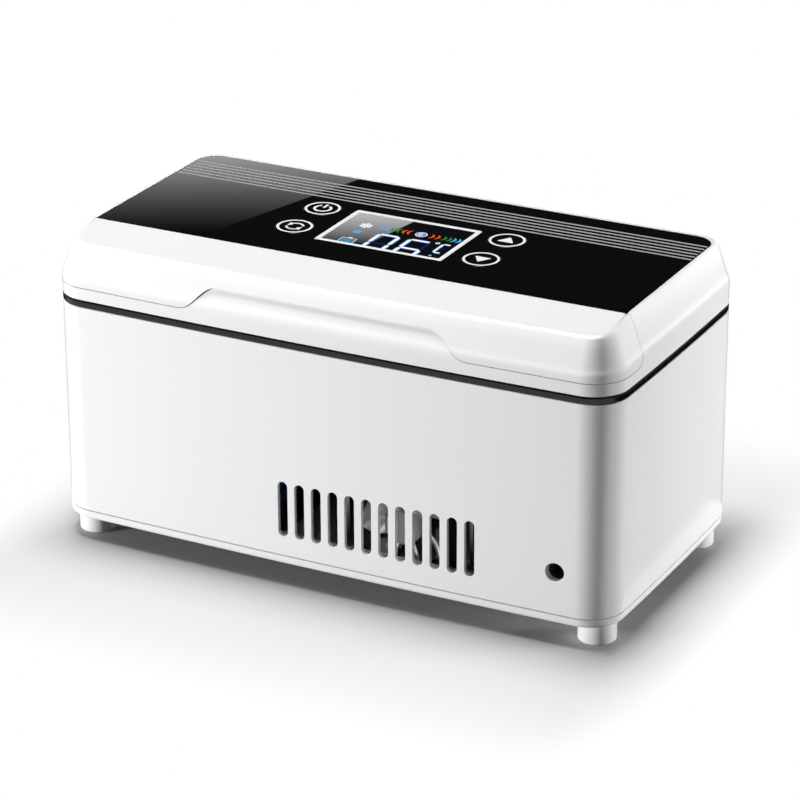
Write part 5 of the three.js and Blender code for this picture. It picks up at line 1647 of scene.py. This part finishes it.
# %% World
AMBIENT = 0.02
SWEEP = {"white_below": 0.1, "dark_above": 0.24}
world = bpy.data.worlds.new("studio_sweep")
bpy.context.scene.world = world
tree = bare_tree(world)
rays = add(tree, "LightPath").outputs
upward = add(tree, "TexCoord").outputs["Generated"]
height = add(tree, "SeparateXYZ", {"Vector": upward}).outputs["Z"]
sweep = add(tree, "MapRange", {
    "Value": height, "From Min": SWEEP["white_below"], "From Max": SWEEP["dark_above"],
    "To Min": 1.0, "To Max": AMBIENT}, interpolation_type="SMOOTHSTEP").outputs["Result"]
mirrored = add(tree, "Math", {0: rays["Is Glossy Ray"], 1: rays["Is Transmission Ray"]},
               operation="MAXIMUM").outputs["Value"]
level = add(tree, "Mix", {"Factor": mirrored, "A": AMBIENT, "B": sweep}, data_type="FLOAT")
level = add(tree, "Mix", {"Factor": rays["Is Camera Ray"], "A": level.outputs["Result"], "B": 1.0},
            data_type="FLOAT")
backdrop = add(tree, "Background", {"Color": linear("ffffff"), "Strength": level.outputs["Result"]})
add(tree, "OutputWorld", {"Surface": backdrop.outputs["Background"]})
print("world level for bounced light:", AMBIENT)

# %% [markdown]
# ## Lamps
# The photograph's strongest sign of form is the dark band down the front right corner. It appears
# where two lamps both miss: a softbox far to the left lights the front, one far to the right rear
# lights the side, and each just grazes the corner between them. A third lights the top and a weak
# one the rear. The two low boxes are kept out of reflections, where they would show as bright bars.

# %% Lamps
def softbox(name, direction, distance, size, power, mirrored=True):
    """A rectangular lamp that looks at the case from a direction, in metres and watts."""
    lamp = bpy.data.lights.new(name, "AREA")
    lamp.shape = "RECTANGLE"
    lamp.size, lamp.size_y = size
    lamp.energy = power
    thing = add_object(name, lamp)
    toward = Vector(direction).normalized()
    aim = Vector((0, 0, 0.06))
    thing.location = aim + toward * distance
    thing.rotation_euler = toward.to_track_quat("Z", "Y").to_euler()
    thing.visible_glossy = mirrored
    print(name, "at", [round(value, 2) for value in thing.location])


softbox("softbox_front_left", (-0.731, -0.682, 0.02), 1.3, (0.2, 0.12), 18.8, mirrored=False)
softbox("softbox_rear_right", (0.93, 0.367, -0.02), 0.51, (0.1, 0.08), 1.8, mirrored=False)
softbox("softbox_rear", (-0.1, 1, 0.08), 1.2, (0.5, 0.3), 4.5, mirrored=False)
softbox("softbox_top", (-0.1, 0.03, 1), 1.2, (0.5, 0.5), 14.5)
bpy.context.scene.view_settings.view_transform = "Standard"

# %% [markdown]
# ## Reflection card
# A polished black panel shows nothing but reflections. In the photograph its left part mirrors a
# grey card with a straight slanted side. The card stands behind the case, glows more strongly
# towards its lower edge, and only mirrors see it: it adds no light and is hidden from the camera.

# %% Reflection card
CARD_DISTANCE = 350
CARD_TOP = 243
CARD_CORNERS = [(-260, 200), (20.4, 200), (-95, CARD_TOP), (-260, CARD_TOP)]
CARD_STRENGTH = 1.65
CARD_FALL = 2.2
FULL_GLOW = 203


def only_mirrored(card):
    """Hides a card from everything but reflections."""
    card.visible_camera = card.visible_diffuse = False
    card.visible_shadow = card.visible_transmission = False


away = -Vector((back.x, back.y, 0)).normalized()
card_middle = Vector((0, CAMERA_TARGET.y, 0)) + away * CARD_DISTANCE
card_points = [card_middle + level_right * across + Vector((0, 0, height))
               for across, height in CARD_CORNERS]
card_paper, tree = new_finish("grey_reflection_card")
on_card = add(tree, "TexCoord").outputs["Object"]
card_height = add(tree, "SeparateXYZ", {"Vector": on_card}).outputs["Z"]
down_the_card = add(tree, "MapRange", {
    "Value": card_height, "From Min": CARD_TOP * MM, "From Max": FULL_GLOW * MM}).outputs["Result"]
shade = add(tree, "Math", {0: down_the_card, 1: CARD_FALL}, operation="POWER").outputs["Value"]
glow = add(tree, "Math", {0: shade, 1: CARD_STRENGTH}, operation="MULTIPLY").outputs["Value"]
card_light = add(tree, "Emission", {"Color": linear("ffffff"), "Strength": glow})
add(tree, "OutputMaterial", {"Surface": card_light.outputs["Emission"]})
only_mirrored(sheet("reflection_card", [point * MM for point in card_points], card_paper))
print("card corners in mm:", [tuple(round(value) for value in point) for point in card_points])

# %% [markdown]
# ## Black card
# White on white loses its edge. Photographers lay a black card just out of sight behind a white
# product: near its outline the gloss mirrors that card, which draws a thin dark line all along it.
# Here the card lies flat behind the case, and again only mirrors see it.

# %% Black card behind the case
CARD_LIFT = 0.002
CARD_SPANS = [((-0.5, 0.7), (0.07, 0.9)), ((-0.5, -0.12), (-0.03, 0.07)),
              ((0.12, 0.7), (-0.05, 0.07))]
black_points = []
for x_span, y_span in CARD_SPANS:
    black_points += corners_of(x_span, y_span, CARD_LIFT)
black_paper, tree = new_finish("black_card_paper")
card_black = add(tree, "Emission", {"Color": linear("101010"), "Strength": 1.0})
add(tree, "OutputMaterial", {"Surface": card_black.outputs["Emission"]})
only_mirrored(sheet("black_card", black_points, black_paper))
print("black card points:", len(black_points))

# %% [markdown]
# ## The model's box
# The dressed model must stay inside the CAD model's box, so the visual model's box is printed.

# %% Size of the visual model
low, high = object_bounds()
print("visual model:", [round(value / MM, 2) for value in (*low, *high)])
